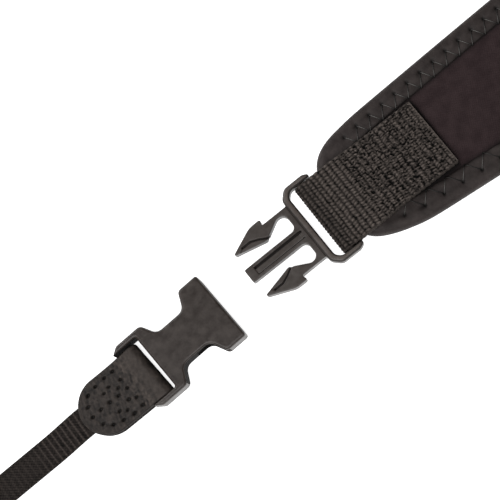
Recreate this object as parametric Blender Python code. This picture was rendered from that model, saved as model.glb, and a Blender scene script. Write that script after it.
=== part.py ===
"""A camera neck strap lying flat: a curved, bound pad with a side-release buckle at each end.

The end at -X is unfastened, and the end at +X is its mirror image, fastened. Metres, +Z up, on z = 0.
Each end is modelled in its own frame: +X runs along the strap towards the pad, from the place where the
webbing crosses the pad's edge, and each buckle half has a frame of its own inside that one.
"""

import math

import bmesh
import bpy
import numpy as np
from mathutils import Vector

GAP = 0.0003  # room left between pieces that touch
CUT_BEYOND = 0.001  # how far a cutting shape reaches past the face it opens

# Pad: a curved band with rounded noses, its edge bound with a folded band
PAD_LENGTH = 0.560
PAD_THICKNESS = 0.0058
PAD_MID_HALF_WIDTH = 0.032
PAD_END_HALF_WIDTH = 0.0206
PAD_TAPER_START = 0.014
NOSE_LENGTH = 0.0250
NOSE_POWER = 3.2
NOSE_OVERHANG = 0.0012  # how far the nose reaches past the start of the end's frame
NOSE_STEPS = 8
SIDE_STEPS = 16
PAD_END_HEADING = math.radians(18.6)
STRAIGHT_END = 0.050  # the centreline is straight this far from each tip
FULL_BEND = 0.200  # and has its full bend from here on
BINDING_WIDTH = 0.0085
BINDING_WALL = 0.0013
BINDING_ROUND = 0.0016  # the band's edge is rounded over this much of its width
BINDING_ROUND_STEP = (0.0004, 0.0012)  # distance inwards and height of the rounding's middle step
CORE_STEP_SLOPE = 0.0004  # width of the core's slanted step beside the band

# Heading of the strap's ends against the pad's own ends
END_SKEW = math.radians(3.4)
PAD_SIDE_SHIFT = 0.0021  # the pad's centreline beside the end's frame, at its start

# Ribbed webbing, doubled and sewn on the pad
WEBBING_WIDTH = 0.0254
WEBBING_WALL = 0.00135
WEBBING_LAYER_GAP = 0.0001
WEBBING_SEWN_END = 0.0357
WEBBING_KNEE = -0.0012  # where it leaves the pad's level, along the strap
WEBBING_KNEE_REACH = 0.0020
WEBBING_SKEW = math.radians(-1.2)
WEBBING_SIDE_SHIFT = 0.00048

# Male half of the buckle: +X towards the pad, origin where the prongs leave the base plate
PRONG_HALF_HEIGHT = 0.00185
PRONG_EDGE = 0.0003
BASE_PLATE_LENGTH = 0.0021
CENTRE_PRONG_LENGTH = 0.0212
CENTRE_PRONG_HALF_WIDTH = 0.00225
CHANNEL_HALF_WIDTH = 0.0013
CHANNEL_DEPTH = 0.0012
CHANNEL_START = 0.0004
CHANNEL_END = 0.0184
SIDE_PRONG_LENGTH = 0.0210
BARB_HALF_SPAN = 0.0120
ARM_HALF_SPAN = 0.01025
ARM_INNER_HALF_SPAN = 0.00885
FRAME_START = 0.00175
FRAME_BAR_END = 0.0041
FRAME_LENGTH_END = 0.0135
FRAME_HALF_WIDTH = 0.01505
FRAME_INNER_HALF_WIDTH = 0.0132
FRAME_HALF_HEIGHT = 0.0021
FRAME_CORNER = 0.0028  # its corners beside the base plate are cut off by this much
FRAME_EDGE = 0.0005
MALE_BAR_X = 0.0095
BAR_RADIUS = 0.0011
BAR_SIDES = 12

# Female half of the buckle: +X towards the pad, origin at the middle of its mouth
BODY_HALF_HEIGHT = 0.0034
BODY_EDGE = 0.0005
MOUTH_HALF_WIDTH = 0.01245
MOUTH_LENGTH = 0.0076
WAIST_HALF_WIDTH = 0.00665
WAIST_START = 0.0103
WAIST_END = 0.0209
REAR_START = 0.0240
REAR_HALF_WIDTH = 0.0121
REAR_SLOT_EDGE = 0.0270
FORK_TAPER_START = 0.0336
FORK_END = 0.0364
FORK_TIP_HALF_WIDTH = 0.0116
FORK_INNER_HALF_WIDTH = 0.01035
FEMALE_BAR_X = -0.0310
CAVITY_HALF_HEIGHT = 0.0022
CAVITY_HALF_WIDTH = 0.0110
SIDE_WALL_LENGTH = 0.0067
WINDOW_END = 0.0220
GUIDE_INNER = 0.00265
GUIDE_OUTER = 0.00365
GUIDE_START = 0.0120
CHANNEL_ROOM_END = 0.0224

# Leather tab, folded round the female half's bar, in that half's frame
TAB_HALF_WIDTH = 0.0094
TAB_WALL = 0.0014
TAB_END = -0.0566
TAB_KNEE = -0.0400
TAB_KNEE_REACH = 0.0040
TAB_LOWER_Z = 0.0007
TAB_UPPER_Z = 0.0039
TAB_ROUND_START = math.radians(11)  # the half circle starts here, with a short flat tip
TAB_ROUND_STEPS = 7

# Narrow webbing that runs to the camera, in the female half's frame
LUG_HALF_WIDTH = 0.00475
LUG_WALL = 0.0012
LUG_START = -0.0390
LUG_LENGTH = 0.160  # from the tab's round end to the eye's centre
LUG_SETTLE = 0.014  # it comes down to the floor over this length
EYE_RADIUS = 0.0036  # inside the eye
EYE_FLAT = 0.0060  # the lower strand lies on the floor this far beside the eye's centre
EYE_KNEE = 0.0170  # where the upper strand meets the lower one
EYE_KNEE_REACH = 0.0030
TAIL_LENGTH = 0.0420
TAIL_KNEE_REACH = 0.0020
STRAND_GAP = 0.0002

# Keeper round the narrow webbing's two strands
KEEPER_DISTANCE = 0.0240  # from the eye's centre
KEEPER_RISE = 0.0140  # the lower strand rises to the keeper's hole over this length
KEEPER_LENGTH = 0.0060
KEEPER_HALF_WIDTH = 0.0066
KEEPER_INNER_HALF_WIDTH = 0.0054
KEEPER_WALL = 0.0010
KEEPER_LIFT = KEEPER_WALL + GAP

# Where the pieces of each end lie, in that end's frame: the male half's base plate, the female half's
# mouth, and the narrow webbing's own shift and skew beside the tab
MALE_X = -0.01636
MALE_Y = 0.00103
MALE_YAW = math.radians(-1.8)
ENDS = (
    # name, side, male_z, mouth_x, mouth_y, female_yaw, lug_shift, lug_skew
    ("shown", 1, 0.0060, -0.0499, 0.0010, math.radians(1.5), 0.0011, math.radians(-1.5)),
    ("far", -1, BODY_HALF_HEIGHT, MALE_X - GAP, MALE_Y, MALE_YAW, 0.0, 0.0),
)

# name: colour, roughness
FINISHES = {
    "pad_fabric": ((0.033, 0.023, 0.024), 0.85),
    "binding_leatherette": ((0.031, 0.030, 0.029), 0.55),
    "ribbed_webbing": ((0.040, 0.034, 0.032), 0.80),
    "moulded_plastic": ((0.054, 0.045, 0.040), 0.45),
    "tab_leather": ((0.058, 0.053, 0.048), 0.60),
    "lug_webbing_fabric": ((0.052, 0.045, 0.041), 0.75),
}


# ---------------------------------------------------------------- general shapes


def clear_scene():
    for obj in list(bpy.data.objects):
        bpy.data.objects.remove(obj, do_unlink=True)


def finish(name):
    material = bpy.data.materials.get(name)
    if material:
        return material
    colour, roughness = FINISHES[name]
    material = bpy.data.materials.new(name)
    material.use_nodes = True
    shader = material.node_tree.nodes["Principled BSDF"]
    shader.inputs["Base Color"].default_value = (*colour, 1.0)
    shader.inputs["Roughness"].default_value = roughness
    shader.inputs["Metallic"].default_value = 0.0
    return material


def closed_mesh(name, points, faces):
    mesh = bpy.data.meshes.new(name)
    mesh.from_pydata([tuple(p) for p in points], [], faces)
    shape = bmesh.new()
    shape.from_mesh(mesh)
    bmesh.ops.recalc_face_normals(shape, faces=shape.faces)
    many_sided = [face for face in shape.faces if len(face.verts) > 4]
    bmesh.ops.triangulate(shape, faces=many_sided, ngon_method="EAR_CLIP")
    shape.to_mesh(mesh)
    shape.free()
    return mesh


def placed(name, mesh, finish_name, parent, location=(0, 0, 0), yaw=0.0):
    obj = bpy.data.objects.new(name, mesh)
    bpy.context.scene.collection.objects.link(obj)
    obj.parent = parent
    obj.location = location
    obj.rotation_euler = (0, 0, yaw)
    if finish_name:
        if not mesh.materials:
            mesh.materials.append(finish(finish_name))
        mesh.shade_smooth()
        mesh.set_sharp_from_angle(angle=math.radians(32))
    return obj


def empty(name, parent=None, location=(0, 0, 0), yaw=0.0, side=1):
    obj = bpy.data.objects.new(name, None)
    bpy.context.scene.collection.objects.link(obj)
    obj.parent = parent
    obj.location = location
    obj.rotation_euler = (0, 0, yaw)
    obj.scale = (side, 1, 1)
    return obj


def strip_faces(rows, per_row, closed_rows):
    """Quads between neighbouring rings of per_row points, each ring closed on itself."""
    faces = []
    for row in range(rows if closed_rows else rows - 1):
        here = row * per_row
        after = (row + 1) % rows * per_row
        for i in range(per_row):
            j = (i + 1) % per_row
            faces.append((here + i, here + j, after + j, after + i))
    return faces


def stacked(name, rings):
    """A solid of stacked rings with as many points each, closed by a flat face at both ends."""
    per_ring = len(rings[0])
    faces = strip_faces(len(rings), per_ring, False)
    faces.append(tuple(range(per_ring)))
    faces.append(tuple(range(per_ring * (len(rings) - 1), per_ring * len(rings))))
    return closed_mesh(name, [p for ring in rings for p in ring], faces)


def rounded(corners, arc_step=math.radians(24)):
    """A closed outline from rows of x, y and corner radius, with each corner turned into an arc."""
    points = []
    for i, (x, y, radius) in enumerate(corners):
        corner = Vector((x, y))
        before = Vector(corners[i - 1][:2]) - corner
        after = Vector(corners[(i + 1) % len(corners)][:2]) - corner
        turn = math.pi - before.angle(after)
        if radius <= 0 or turn < math.radians(2):
            points.append(corner)
            continue
        reach = radius * math.tan(turn / 2)
        start = corner + before.normalized() * reach
        end = corner + after.normalized() * reach
        middle = (start + end) / 2
        centre = corner + (middle - corner).normalized() * math.hypot(radius, reach)
        steps = max(1, math.ceil(turn / arc_step))
        for k in range(steps + 1):
            spoke = (start - centre).slerp(end - centre, k / steps)
            points.append(centre + spoke.normalized() * radius)
    return points


def both_sides(half):
    """A closed outline from the rows of its +Y half, which starts and ends on the X axis or beside it."""
    return list(half) + [(x, -y, radius) for x, y, radius in reversed(half) if y != 0]


def inset(outline, distance):
    """The outline moved inwards, on an outline that runs anticlockwise."""
    moved = []
    for i, point in enumerate(outline):
        a = (point - outline[i - 1]).normalized()
        b = (outline[(i + 1) % len(outline)] - point).normalized()
        inwards = Vector((-a.y - b.y, a.x + b.x)).normalized()
        cosine = max(0.5, inwards.dot(Vector((-a.y, a.x))))
        moved.append(point + inwards * distance / cosine)
    return moved


def plate(name, outline, half_height, edge=0.0):
    """The outline as a flat plate, with its upper and lower edges bevelled by edge."""
    area = sum(a.x * b.y - b.x * a.y for a, b in zip(outline, outline[1:] + outline[:1]))
    if area < 0:
        outline = outline[::-1]
    straight = half_height - edge
    rows = [(-half_height, edge), (-straight, 0.0), (straight, 0.0), (half_height, edge)]
    if edge == 0.0:
        rows = [(-half_height, 0.0), (half_height, 0.0)]
    rings = [[(p.x, p.y, z) for p in inset(outline, amount)] for z, amount in rows]
    return stacked(name, rings)


def box(name, low, high):
    corners = [(low[0], low[1]), (high[0], low[1]), (high[0], high[1]), (low[0], high[1])]
    return stacked(name, [[(x, y, z) for x, y in corners] for z in (low[2], high[2])])


def cross_bar(name, x, half_length, radius, sides):
    """A round bar along Y."""
    turns = [2 * math.pi * (i + 0.5) / sides for i in range(sides)]
    ring = [(x + radius * math.cos(t), radius * math.sin(t)) for t in turns]
    ends = (-half_length, half_length)
    return stacked(name, [[(across, y, up) for across, up in ring] for y in ends])


def combined(name, base, steps):
    """One mesh from base and rows of operation and mesh, worked through Boolean modifiers."""
    main = placed(name, base, None, None)
    helpers = []
    for operation, mesh in steps:
        helper = placed(mesh.name, mesh, None, None)
        helper.hide_render = True
        helper.display_type = "WIRE"
        cut = main.modifiers.new(operation.title(), "BOOLEAN")
        cut.operation = operation
        cut.solver = "EXACT"
        cut.object = helper
        helpers.append(helper)
    bpy.context.view_layer.update()
    graph = bpy.context.evaluated_depsgraph_get()
    result = bpy.data.meshes.new_from_object(main.evaluated_get(graph))
    result.name = name
    for obj in [main, *helpers]:
        bpy.data.objects.remove(obj, do_unlink=True)
    return result


def ribbon(name, path, wall, half_widths):
    """A band of the given wall swept along a path of x and z, one half width for each of its points."""
    path = np.array(path)
    along = np.gradient(path, axis=0)
    along /= np.linalg.norm(along, axis=1)[:, None]
    across = np.column_stack([-along[:, 1], along[:, 0]]) * wall / 2
    rings = []
    for (x, z), (nx, nz), half in zip(path, across, half_widths):
        upper = [(x + nx, y, z + nz) for y in (-half, half)]
        lower = [(x - nx, y, z - nz) for y in (half, -half)]
        rings.append(upper + lower)
    return stacked(name, rings)


def bend(before, corner, after, reach, steps=4):
    """Points of a smooth bend at a corner of a path, reach away from it on both sides."""
    before, corner, after = (np.array(p) for p in (before, corner, after))
    start = corner + (before - corner) * reach / np.linalg.norm(before - corner)
    end = corner + (after - corner) * reach / np.linalg.norm(after - corner)
    shares = np.linspace(0, 1, steps + 1)
    return [tuple((1 - t) ** 2 * start + 2 * t * (1 - t) * corner + t * t * end) for t in shares]


def round_bar(centre, radius, upper, lower, steps=10):
    """Arc of a band laid round the far side of a bar at -X of its strands' points upper and lower."""
    angles = []
    for (x, z), turn in ((upper, 1), (lower, -1)):
        dx, dz = x - centre[0], z - centre[1]
        angles.append(math.atan2(dz, dx) + turn * math.acos(radius / math.hypot(dx, dz)))
    turns = np.linspace(angles[0], angles[1] + 2 * math.pi, steps + 1)
    return [(centre[0] + radius * math.cos(t), centre[1] + radius * math.sin(t)) for t in turns]


def fold(start, knee, bar, radius, upper_z, lower_z, knee_reach):
    """A doubled band's path from its end at x = start, round a bar on its -X side, and back."""
    upper = (knee, upper_z)
    lower = (knee, lower_z)
    arc = round_bar(bar, radius, upper, lower)
    return [
        (start, upper_z),
        *bend((start, upper_z), upper, arc[0], knee_reach),
        *arc,
        *bend(arc[-1], lower, (start, lower_z), knee_reach),
        (start, lower_z),
    ]


# ---------------------------------------------------------------- pad


def centreline(distances):
    """x, y and heading of the pad's centreline at distances from its -X tip, with x = 0 at its middle."""
    half = PAD_LENGTH / 2
    s = np.linspace(0, half, 1401)
    share = np.clip((s - STRAIGHT_END) / (FULL_BEND - STRAIGHT_END), 0, 1)
    full_rate = PAD_END_HEADING / (half - (FULL_BEND + STRAIGHT_END) / 2)
    rate = full_rate * (1 - np.cos(math.pi * share)) / 2
    step = s[1] - s[0]
    heading = PAD_END_HEADING - np.concatenate([[0], np.cumsum((rate[1:] + rate[:-1]) / 2) * step])
    x = np.concatenate([[0], np.cumsum(np.cos((heading[1:] + heading[:-1]) / 2)) * step])
    y = np.concatenate([[0], np.cumsum(np.sin((heading[1:] + heading[:-1]) / 2)) * step])
    x -= x[-1]
    return [np.interp(distances, s, values) for values in (x, y, heading)]


def half_width(s):
    share = np.clip((s - PAD_TAPER_START) / (PAD_LENGTH / 2 - PAD_TAPER_START), 0, 1)
    full = PAD_END_HALF_WIDTH + (PAD_MID_HALF_WIDTH - PAD_END_HALF_WIDTH) * np.sin(share * math.pi / 2)
    nose = np.clip(1 - s / NOSE_LENGTH, 0, 1)
    return full * (1 - nose**NOSE_POWER) ** (1 / NOSE_POWER)


def pad_outline():
    """The pad's outline seen from above, anticlockwise, from its -X tip."""
    turns = np.linspace(0, math.pi / 2, NOSE_STEPS + 1)
    nose = NOSE_LENGTH * (1 - np.cos(turns) ** (2 / NOSE_POWER))
    side = np.linspace(NOSE_LENGTH, PAD_LENGTH / 2, SIDE_STEPS + 1)[1:]
    s = np.concatenate([nose, side])
    x, y, heading = centreline(s)
    half = half_width(s)
    lower = [Vector((a + h * math.sin(t), b - h * math.cos(t))) for a, b, t, h in zip(x, y, heading, half)]
    upper = [Vector((a - h * math.sin(t), b + h * math.cos(t))) for a, b, t, h in zip(x, y, heading, half)]
    far_lower = [Vector((-p.x, p.y)) for p in lower]
    far_upper = [Vector((-p.x, p.y)) for p in upper]
    return lower + far_lower[-2::-1] + far_upper[1:-1] + upper[:0:-1]


def swept_round(outline, section):
    """Rings of the section at each point of the outline: rows of distance inwards and height."""
    columns = [inset(outline, distance) for distance, _ in section]
    return [[(c[i].x, c[i].y, z) for c, (_, z) in zip(columns, section)] for i in range(len(outline))]


def pad_core():
    """Foam and its cover: full thickness inside, thinned where the binding wraps its edge."""
    wrapped = BINDING_WALL + GAP
    step_outer = BINDING_WIDTH + GAP
    step_inner = step_outer + CORE_STEP_SLOPE
    section = [
        # distance inwards, height
        (step_inner, 0.0),
        (step_outer, wrapped),
        (wrapped, wrapped),
        (wrapped, PAD_THICKNESS - wrapped),
        (step_outer, PAD_THICKNESS - wrapped),
        (step_inner, PAD_THICKNESS),
    ]
    rings = swept_round(pad_outline(), section)
    return stacked("pad_core", [list(loop) for loop in zip(*rings)])


def pad_binding():
    """The border band: a U-shaped wall round the whole edge."""
    wall, top = BINDING_WALL, PAD_THICKNESS
    round_in, round_up = BINDING_ROUND_STEP
    outside = [
        # distance inwards, height
        (BINDING_WIDTH, 0.0),
        (BINDING_ROUND, 0.0),
        (round_in, round_up),
        (0.0, top / 2),
        (round_in, top - round_up),
        (BINDING_ROUND, top),
        (BINDING_WIDTH, top),
    ]
    inside = [(BINDING_WIDTH, top - wall), (wall, top - wall), (wall, wall), (BINDING_WIDTH, wall)]
    rings = swept_round(pad_outline(), outside + inside)
    per_ring = len(rings[0])
    points = [p for ring in rings for p in ring]
    return closed_mesh("pad_binding", points, strip_faces(len(rings), per_ring, True))


# ---------------------------------------------------------------- straps and tab


def webbing_loop(name, bar_z):
    """Ribbed webbing sewn on the pad, folded round the male half's bar and back under itself."""
    lower_z = PAD_THICKNESS + GAP + WEBBING_WALL / 2
    upper_z = lower_z + WEBBING_WALL + WEBBING_LAYER_GAP
    bar = (MALE_X + MALE_BAR_X, bar_z)
    radius = BAR_RADIUS + GAP + WEBBING_WALL / 2
    path = fold(WEBBING_SEWN_END, WEBBING_KNEE, bar, radius, upper_z, lower_z, WEBBING_KNEE_REACH)
    return ribbon(name, path, WEBBING_WALL, [WEBBING_WIDTH / 2] * len(path))


def leather_tab():
    """Leather folded round the female half's bar, both layers ending in the same half circle."""
    start = -(TAB_END + TAB_HALF_WIDTH)
    bar = (-FEMALE_BAR_X, BODY_HALF_HEIGHT)
    radius = BAR_RADIUS + GAP + TAB_WALL / 2
    mirrored = fold(start, -TAB_KNEE, bar, radius, TAB_UPPER_Z, TAB_LOWER_Z, TAB_KNEE_REACH)
    path = [(-x, z) for x, z in mirrored]
    turns = np.linspace(TAB_ROUND_START, math.pi / 2, TAB_ROUND_STEPS, endpoint=False)
    ends = [(TAB_END + TAB_HALF_WIDTH * (1 - math.cos(t)), TAB_HALF_WIDTH * math.sin(t)) for t in turns]
    upper = [(x, TAB_UPPER_Z) for x, _ in ends]
    lower = [(x, TAB_LOWER_Z) for x, _ in reversed(ends)]
    narrowing = [half for _, half in ends]
    widths = narrowing + [TAB_HALF_WIDTH] * len(path) + narrowing[::-1]
    return ribbon("leather_tab", upper + path + lower, TAB_WALL, widths)


def lug_height(distance):
    """Mid height of the narrow webbing's lower strand, by its distance from the tab's round end."""
    on_floor = LUG_WALL / 2
    keeper = LUG_LENGTH - KEEPER_DISTANCE
    rows = (
        # distance, height
        (0.0, (TAB_LOWER_Z + TAB_UPPER_Z) / 2),
        (LUG_SETTLE, on_floor),
        (keeper - KEEPER_LENGTH - KEEPER_RISE, on_floor),
        (keeper - KEEPER_LENGTH, on_floor + KEEPER_LIFT),
        (keeper, on_floor + KEEPER_LIFT),
        (LUG_LENGTH - EYE_FLAT, on_floor),
        (LUG_LENGTH, on_floor),
    )
    for (d0, h0), (d1, h1) in zip(rows, rows[1:]):
        if distance <= d1:
            share = (1 - math.cos(math.pi * max(0.0, distance - d0) / (d1 - d0))) / 2
            return h0 + (h1 - h0) * share
    return on_floor


def lug_webbing():
    """Narrow webbing from inside the tab to its eye, and back along itself, its origin at the tab's end."""
    keeper = -LUG_LENGTH + KEEPER_DISTANCE
    runs = (
        # from, to, steps: closer points where the webbing rises or falls
        (LUG_START - TAB_END, 0.001, 2),
        (0.0, -LUG_SETTLE, 5),
        (-0.030, keeper + KEEPER_LENGTH + KEEPER_RISE, 4),
        (keeper + 0.019, keeper + KEEPER_LENGTH, 4),
        (keeper, -LUG_LENGTH + EYE_FLAT, 5),
    )
    strand = []
    for start, end, steps in runs:
        strand += [(x, lug_height(max(0.0, -x))) for x in np.linspace(start, end, steps + 1)]
    eye_mid = EYE_RADIUS + LUG_WALL / 2
    centre = (-LUG_LENGTH, LUG_WALL / 2 + eye_mid)
    step_up = LUG_WALL + STRAND_GAP
    knee_z = LUG_WALL / 2 + KEEPER_LIFT + step_up
    knee = (-LUG_LENGTH + EYE_KNEE, knee_z)
    keeper_end = (keeper + KEEPER_LENGTH, knee_z)
    tail = (-LUG_LENGTH + TAIL_LENGTH, LUG_WALL / 2 + step_up + GAP)
    arc = round_bar(centre, eye_mid, knee, (0.0, LUG_WALL / 2), steps=14)[::-1]
    back = bend(arc[-1], knee, keeper_end, EYE_KNEE_REACH)
    path = strand + arc + back + bend(knee, keeper_end, tail, TAIL_KNEE_REACH) + [tail]
    return ribbon("lug_webbing", path, LUG_WALL, [LUG_HALF_WIDTH] * len(path))


def webbing_keeper():
    """A plain moulded ring round both strands, its origin at the eye's centre."""
    height = 2 * KEEPER_WALL + 2 * LUG_WALL + STRAND_GAP + 2 * GAP
    start, end = KEEPER_DISTANCE, KEEPER_DISTANCE + KEEPER_LENGTH
    outer = box("keeper", (start, -KEEPER_HALF_WIDTH, 0.0), (end, KEEPER_HALF_WIDTH, height))
    inner = box(
        "keeper_hole",
        (start - CUT_BEYOND, -KEEPER_INNER_HALF_WIDTH, KEEPER_WALL),
        (end + CUT_BEYOND, KEEPER_INNER_HALF_WIDTH, height - KEEPER_WALL),
    )
    return combined("webbing_keeper", outer, [("DIFFERENCE", inner)])


# ---------------------------------------------------------------- buckle


def prong_outline():
    half = [
        # x, y, corner radius
        (-CENTRE_PRONG_LENGTH, CENTRE_PRONG_HALF_WIDTH, 0.0005),
        (0.0, CENTRE_PRONG_HALF_WIDTH, 0.0019),
        (0.0, ARM_INNER_HALF_SPAN, 0.0022),
        (-0.0034, ARM_INNER_HALF_SPAN, 0.0020),
        (-0.0098, 0.0054, 0.0012),
        (-SIDE_PRONG_LENGTH, 0.0081, 0.0004),
        (-0.0118, BARB_HALF_SPAN, 0.0060),
        (-0.0074, BARB_HALF_SPAN, 0.0004),
        (-0.0081, ARM_HALF_SPAN, 0.0),
        (BASE_PLATE_LENGTH, ARM_HALF_SPAN, 0.0),
    ]
    return rounded(both_sides(half))


def buckle_frame_outline():
    half = [
        # x, y, corner radius
        (FRAME_START, FRAME_HALF_WIDTH - FRAME_CORNER, 0.0025),
        (FRAME_START + FRAME_CORNER, FRAME_HALF_WIDTH, 0.0025),
        (FRAME_LENGTH_END, FRAME_HALF_WIDTH, 0.0010),
        (FRAME_LENGTH_END, FRAME_INNER_HALF_WIDTH, 0.0006),
        (FRAME_BAR_END, FRAME_INNER_HALF_WIDTH, 0.0016),
    ]
    return rounded(both_sides(half))


def male_buckle():
    """Base plate, centre prong and two barbed side prongs, on the frame that holds the webbing."""
    prongs = plate("prongs", prong_outline(), PRONG_HALF_HEIGHT, PRONG_EDGE)
    frame = plate("buckle_frame", buckle_frame_outline(), FRAME_HALF_HEIGHT, FRAME_EDGE)
    bar_reach = (FRAME_HALF_WIDTH + FRAME_INNER_HALF_WIDTH) / 2
    bar = cross_bar("webbing_bar", MALE_BAR_X, bar_reach, BAR_RADIUS, BAR_SIDES)
    floor = PRONG_HALF_HEIGHT - CHANNEL_DEPTH
    above = PRONG_HALF_HEIGHT + CUT_BEYOND
    steps = [("UNION", frame), ("UNION", bar)]
    for label, low, high in (("upper", floor, above), ("lower", -above, -floor)):
        start = (-CHANNEL_END, -CHANNEL_HALF_WIDTH, low)
        end = (-CHANNEL_START, CHANNEL_HALF_WIDTH, high)
        steps.append(("DIFFERENCE", box(f"channel_{label}", start, end)))
    return combined("male_buckle", prongs, steps)


def body_outline():
    half = [
        # x, y, corner radius
        (0.0, MOUTH_HALF_WIDTH, 0.0008),
        (-MOUTH_LENGTH, MOUTH_HALF_WIDTH, 0.0016),
        (-WAIST_START, WAIST_HALF_WIDTH, 0.0030),
        (-WAIST_END, WAIST_HALF_WIDTH, 0.0030),
        (-REAR_START, REAR_HALF_WIDTH, 0.0020),
        (-FORK_TAPER_START, REAR_HALF_WIDTH, 0.0),
        (-FORK_END, FORK_TIP_HALF_WIDTH, 0.0006),
        (-FORK_END, FORK_INNER_HALF_WIDTH, 0.0),
        (-REAR_SLOT_EDGE, FORK_INNER_HALF_WIDTH, 0.0),
    ]
    return rounded(both_sides(half))


def cavity_outline():
    """What is open between the two plates: the mouth, the side windows and the middle channel."""
    beyond = MOUTH_HALF_WIDTH + CUT_BEYOND
    half = [
        # x, y, corner radius
        (CUT_BEYOND, CAVITY_HALF_WIDTH, 0.0),
        (-SIDE_WALL_LENGTH, CAVITY_HALF_WIDTH, 0.0),
        (-SIDE_WALL_LENGTH, beyond, 0.0),
        (-WINDOW_END, beyond, 0.0),
        (-WINDOW_END, GUIDE_OUTER, 0.0),
        (-GUIDE_START, GUIDE_OUTER, 0.0),
        (-GUIDE_START, GUIDE_INNER, 0.0),
        (-CHANNEL_ROOM_END, GUIDE_INNER, 0.0),
    ]
    return rounded(both_sides(half))


def female_buckle():
    """The hollow half: mouth, narrow waist with open sides, and a rear fork with its bar."""
    body = plate("body", body_outline(), BODY_HALF_HEIGHT, BODY_EDGE)
    cavity = plate("cavity", cavity_outline(), CAVITY_HALF_HEIGHT)
    bar_reach = (REAR_HALF_WIDTH + FORK_INNER_HALF_WIDTH) / 2
    bar = cross_bar("tab_bar", FEMALE_BAR_X, bar_reach, BAR_RADIUS, BAR_SIDES)
    return combined("female_buckle", body, [("DIFFERENCE", cavity), ("UNION", bar)])


# ---------------------------------------------------------------- assembly


def build():
    clear_scene()
    strap = empty("strap")
    placed("pad_core", pad_core(), "pad_fabric", strap)
    placed("pad_binding", pad_binding(), "binding_leatherette", strap)
    shared = {
        "male_buckle": male_buckle(),
        "female_buckle": female_buckle(),
        "leather_tab": leather_tab(),
        "lug_webbing": lug_webbing(),
        "webbing_keeper": webbing_keeper(),
    }
    (start_x,), (start_y,), (heading,) = centreline([NOSE_OVERHANG])
    end_heading = heading + END_SKEW
    side_x = PAD_SIDE_SHIFT * math.sin(end_heading)
    side_y = -PAD_SIDE_SHIFT * math.cos(end_heading)
    for end, side, male_z, mouth_x, mouth_y, female_yaw, lug_shift, lug_skew in ENDS:
        mirror = empty(f"{end}_side", strap, side=side)
        frame = empty(f"{end}_end", mirror, (start_x + side_x, start_y + side_y, 0), end_heading)
        half = empty(f"female_half_{end}", frame, (mouth_x, mouth_y, 0), female_yaw)
        run = empty(f"lug_run_{end}", half, (TAB_END, lug_shift, 0), lug_skew)
        shared["webbing_loop"] = webbing_loop(f"webbing_loop_{end}", male_z)
        pieces = (
            # piece, finish, parent, location, yaw
            ("webbing_loop", "ribbed_webbing", frame, (0, WEBBING_SIDE_SHIFT, 0), WEBBING_SKEW),
            ("male_buckle", "moulded_plastic", frame, (MALE_X, MALE_Y, male_z), MALE_YAW),
            ("female_buckle", "moulded_plastic", half, (0, 0, BODY_HALF_HEIGHT), 0.0),
            ("leather_tab", "tab_leather", half, (0, 0, 0), 0.0),
            ("lug_webbing", "lug_webbing_fabric", run, (0, 0, 0), 0.0),
            ("webbing_keeper", "moulded_plastic", run, (-LUG_LENGTH, 0, 0), 0.0),
        )
        for piece, finish_name, parent, location, yaw in pieces:
            placed(f"{piece}_{end}", shared[piece], finish_name, parent, location, yaw)
    centre_on_origin(strap)


def centre_on_origin(strap):
    """Moves the strap so that the middle of its box stands over the origin."""
    bpy.context.view_layer.update()
    solids = [obj for obj in bpy.data.objects if obj.type == "MESH"]
    points = [obj.matrix_world @ vertex.co for obj in solids for vertex in obj.data.vertices]
    strap.location.x = -(min(p.x for p in points) + max(p.x for p in points)) / 2
    strap.location.y = -(min(p.y for p in points) + max(p.y for p in points)) / 2
    bpy.context.view_layer.update()


build()
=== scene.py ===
"""The looks of a camera neck strap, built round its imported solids. Metres, in the row's own frame.

The named sizes are those of the solids, set finer by up to about half a millimetre, and the pad's nose
reaches 1.2 mm further. Each end of the strap has frames of its own: +X runs along the strap towards the
pad, and the far end's frames are the shown end's, mirrored. Every piece is made in such a frame and then
put in its place. A mesh carries a share of light at its points, which its material scales its colour by.
"""

import math

import bmesh
import bpy
import numpy as np
from mathutils import Matrix, Vector

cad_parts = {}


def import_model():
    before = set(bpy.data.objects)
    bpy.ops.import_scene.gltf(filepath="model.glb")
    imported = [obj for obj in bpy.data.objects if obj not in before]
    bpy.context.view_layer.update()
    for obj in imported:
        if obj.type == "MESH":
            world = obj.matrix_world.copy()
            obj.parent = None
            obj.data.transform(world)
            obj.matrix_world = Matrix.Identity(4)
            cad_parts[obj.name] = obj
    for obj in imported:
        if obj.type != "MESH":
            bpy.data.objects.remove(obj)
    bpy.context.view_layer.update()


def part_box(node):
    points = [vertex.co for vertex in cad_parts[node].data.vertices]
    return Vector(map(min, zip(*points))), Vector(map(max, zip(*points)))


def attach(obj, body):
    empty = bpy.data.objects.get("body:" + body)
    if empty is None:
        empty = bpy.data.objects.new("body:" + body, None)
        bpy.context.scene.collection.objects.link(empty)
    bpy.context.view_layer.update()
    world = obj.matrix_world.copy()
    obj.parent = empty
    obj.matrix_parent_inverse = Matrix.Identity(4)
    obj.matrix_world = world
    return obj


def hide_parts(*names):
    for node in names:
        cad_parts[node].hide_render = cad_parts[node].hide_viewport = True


# Pad
PAD_LENGTH = 0.560
PAD_THICKNESS = 0.0058
PAD_MID_HALF_WIDTH = 0.032
PAD_END_HALF_WIDTH = 0.0206
PAD_TAPER_START = 0.014
NOSE_LENGTH = 0.0290
NOSE_POWER = 3.6
NOSE_OVERHANG = 0.0012
NOSE_REACH = 0.0012
# How much narrower the pad is on its -Y side, most at one distance from its tip, and how far round that
LOWER_LESS = 0.0012
LOWER_LESS_AT = 0.006
LOWER_LESS_REACH = 0.009
PAD_END_HEADING = math.radians(18.6)
STRAIGHT_END = 0.050
FULL_BEND = 0.200
BINDING_WIDTH = 0.0082
BINDING_WALL = 0.0012

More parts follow.
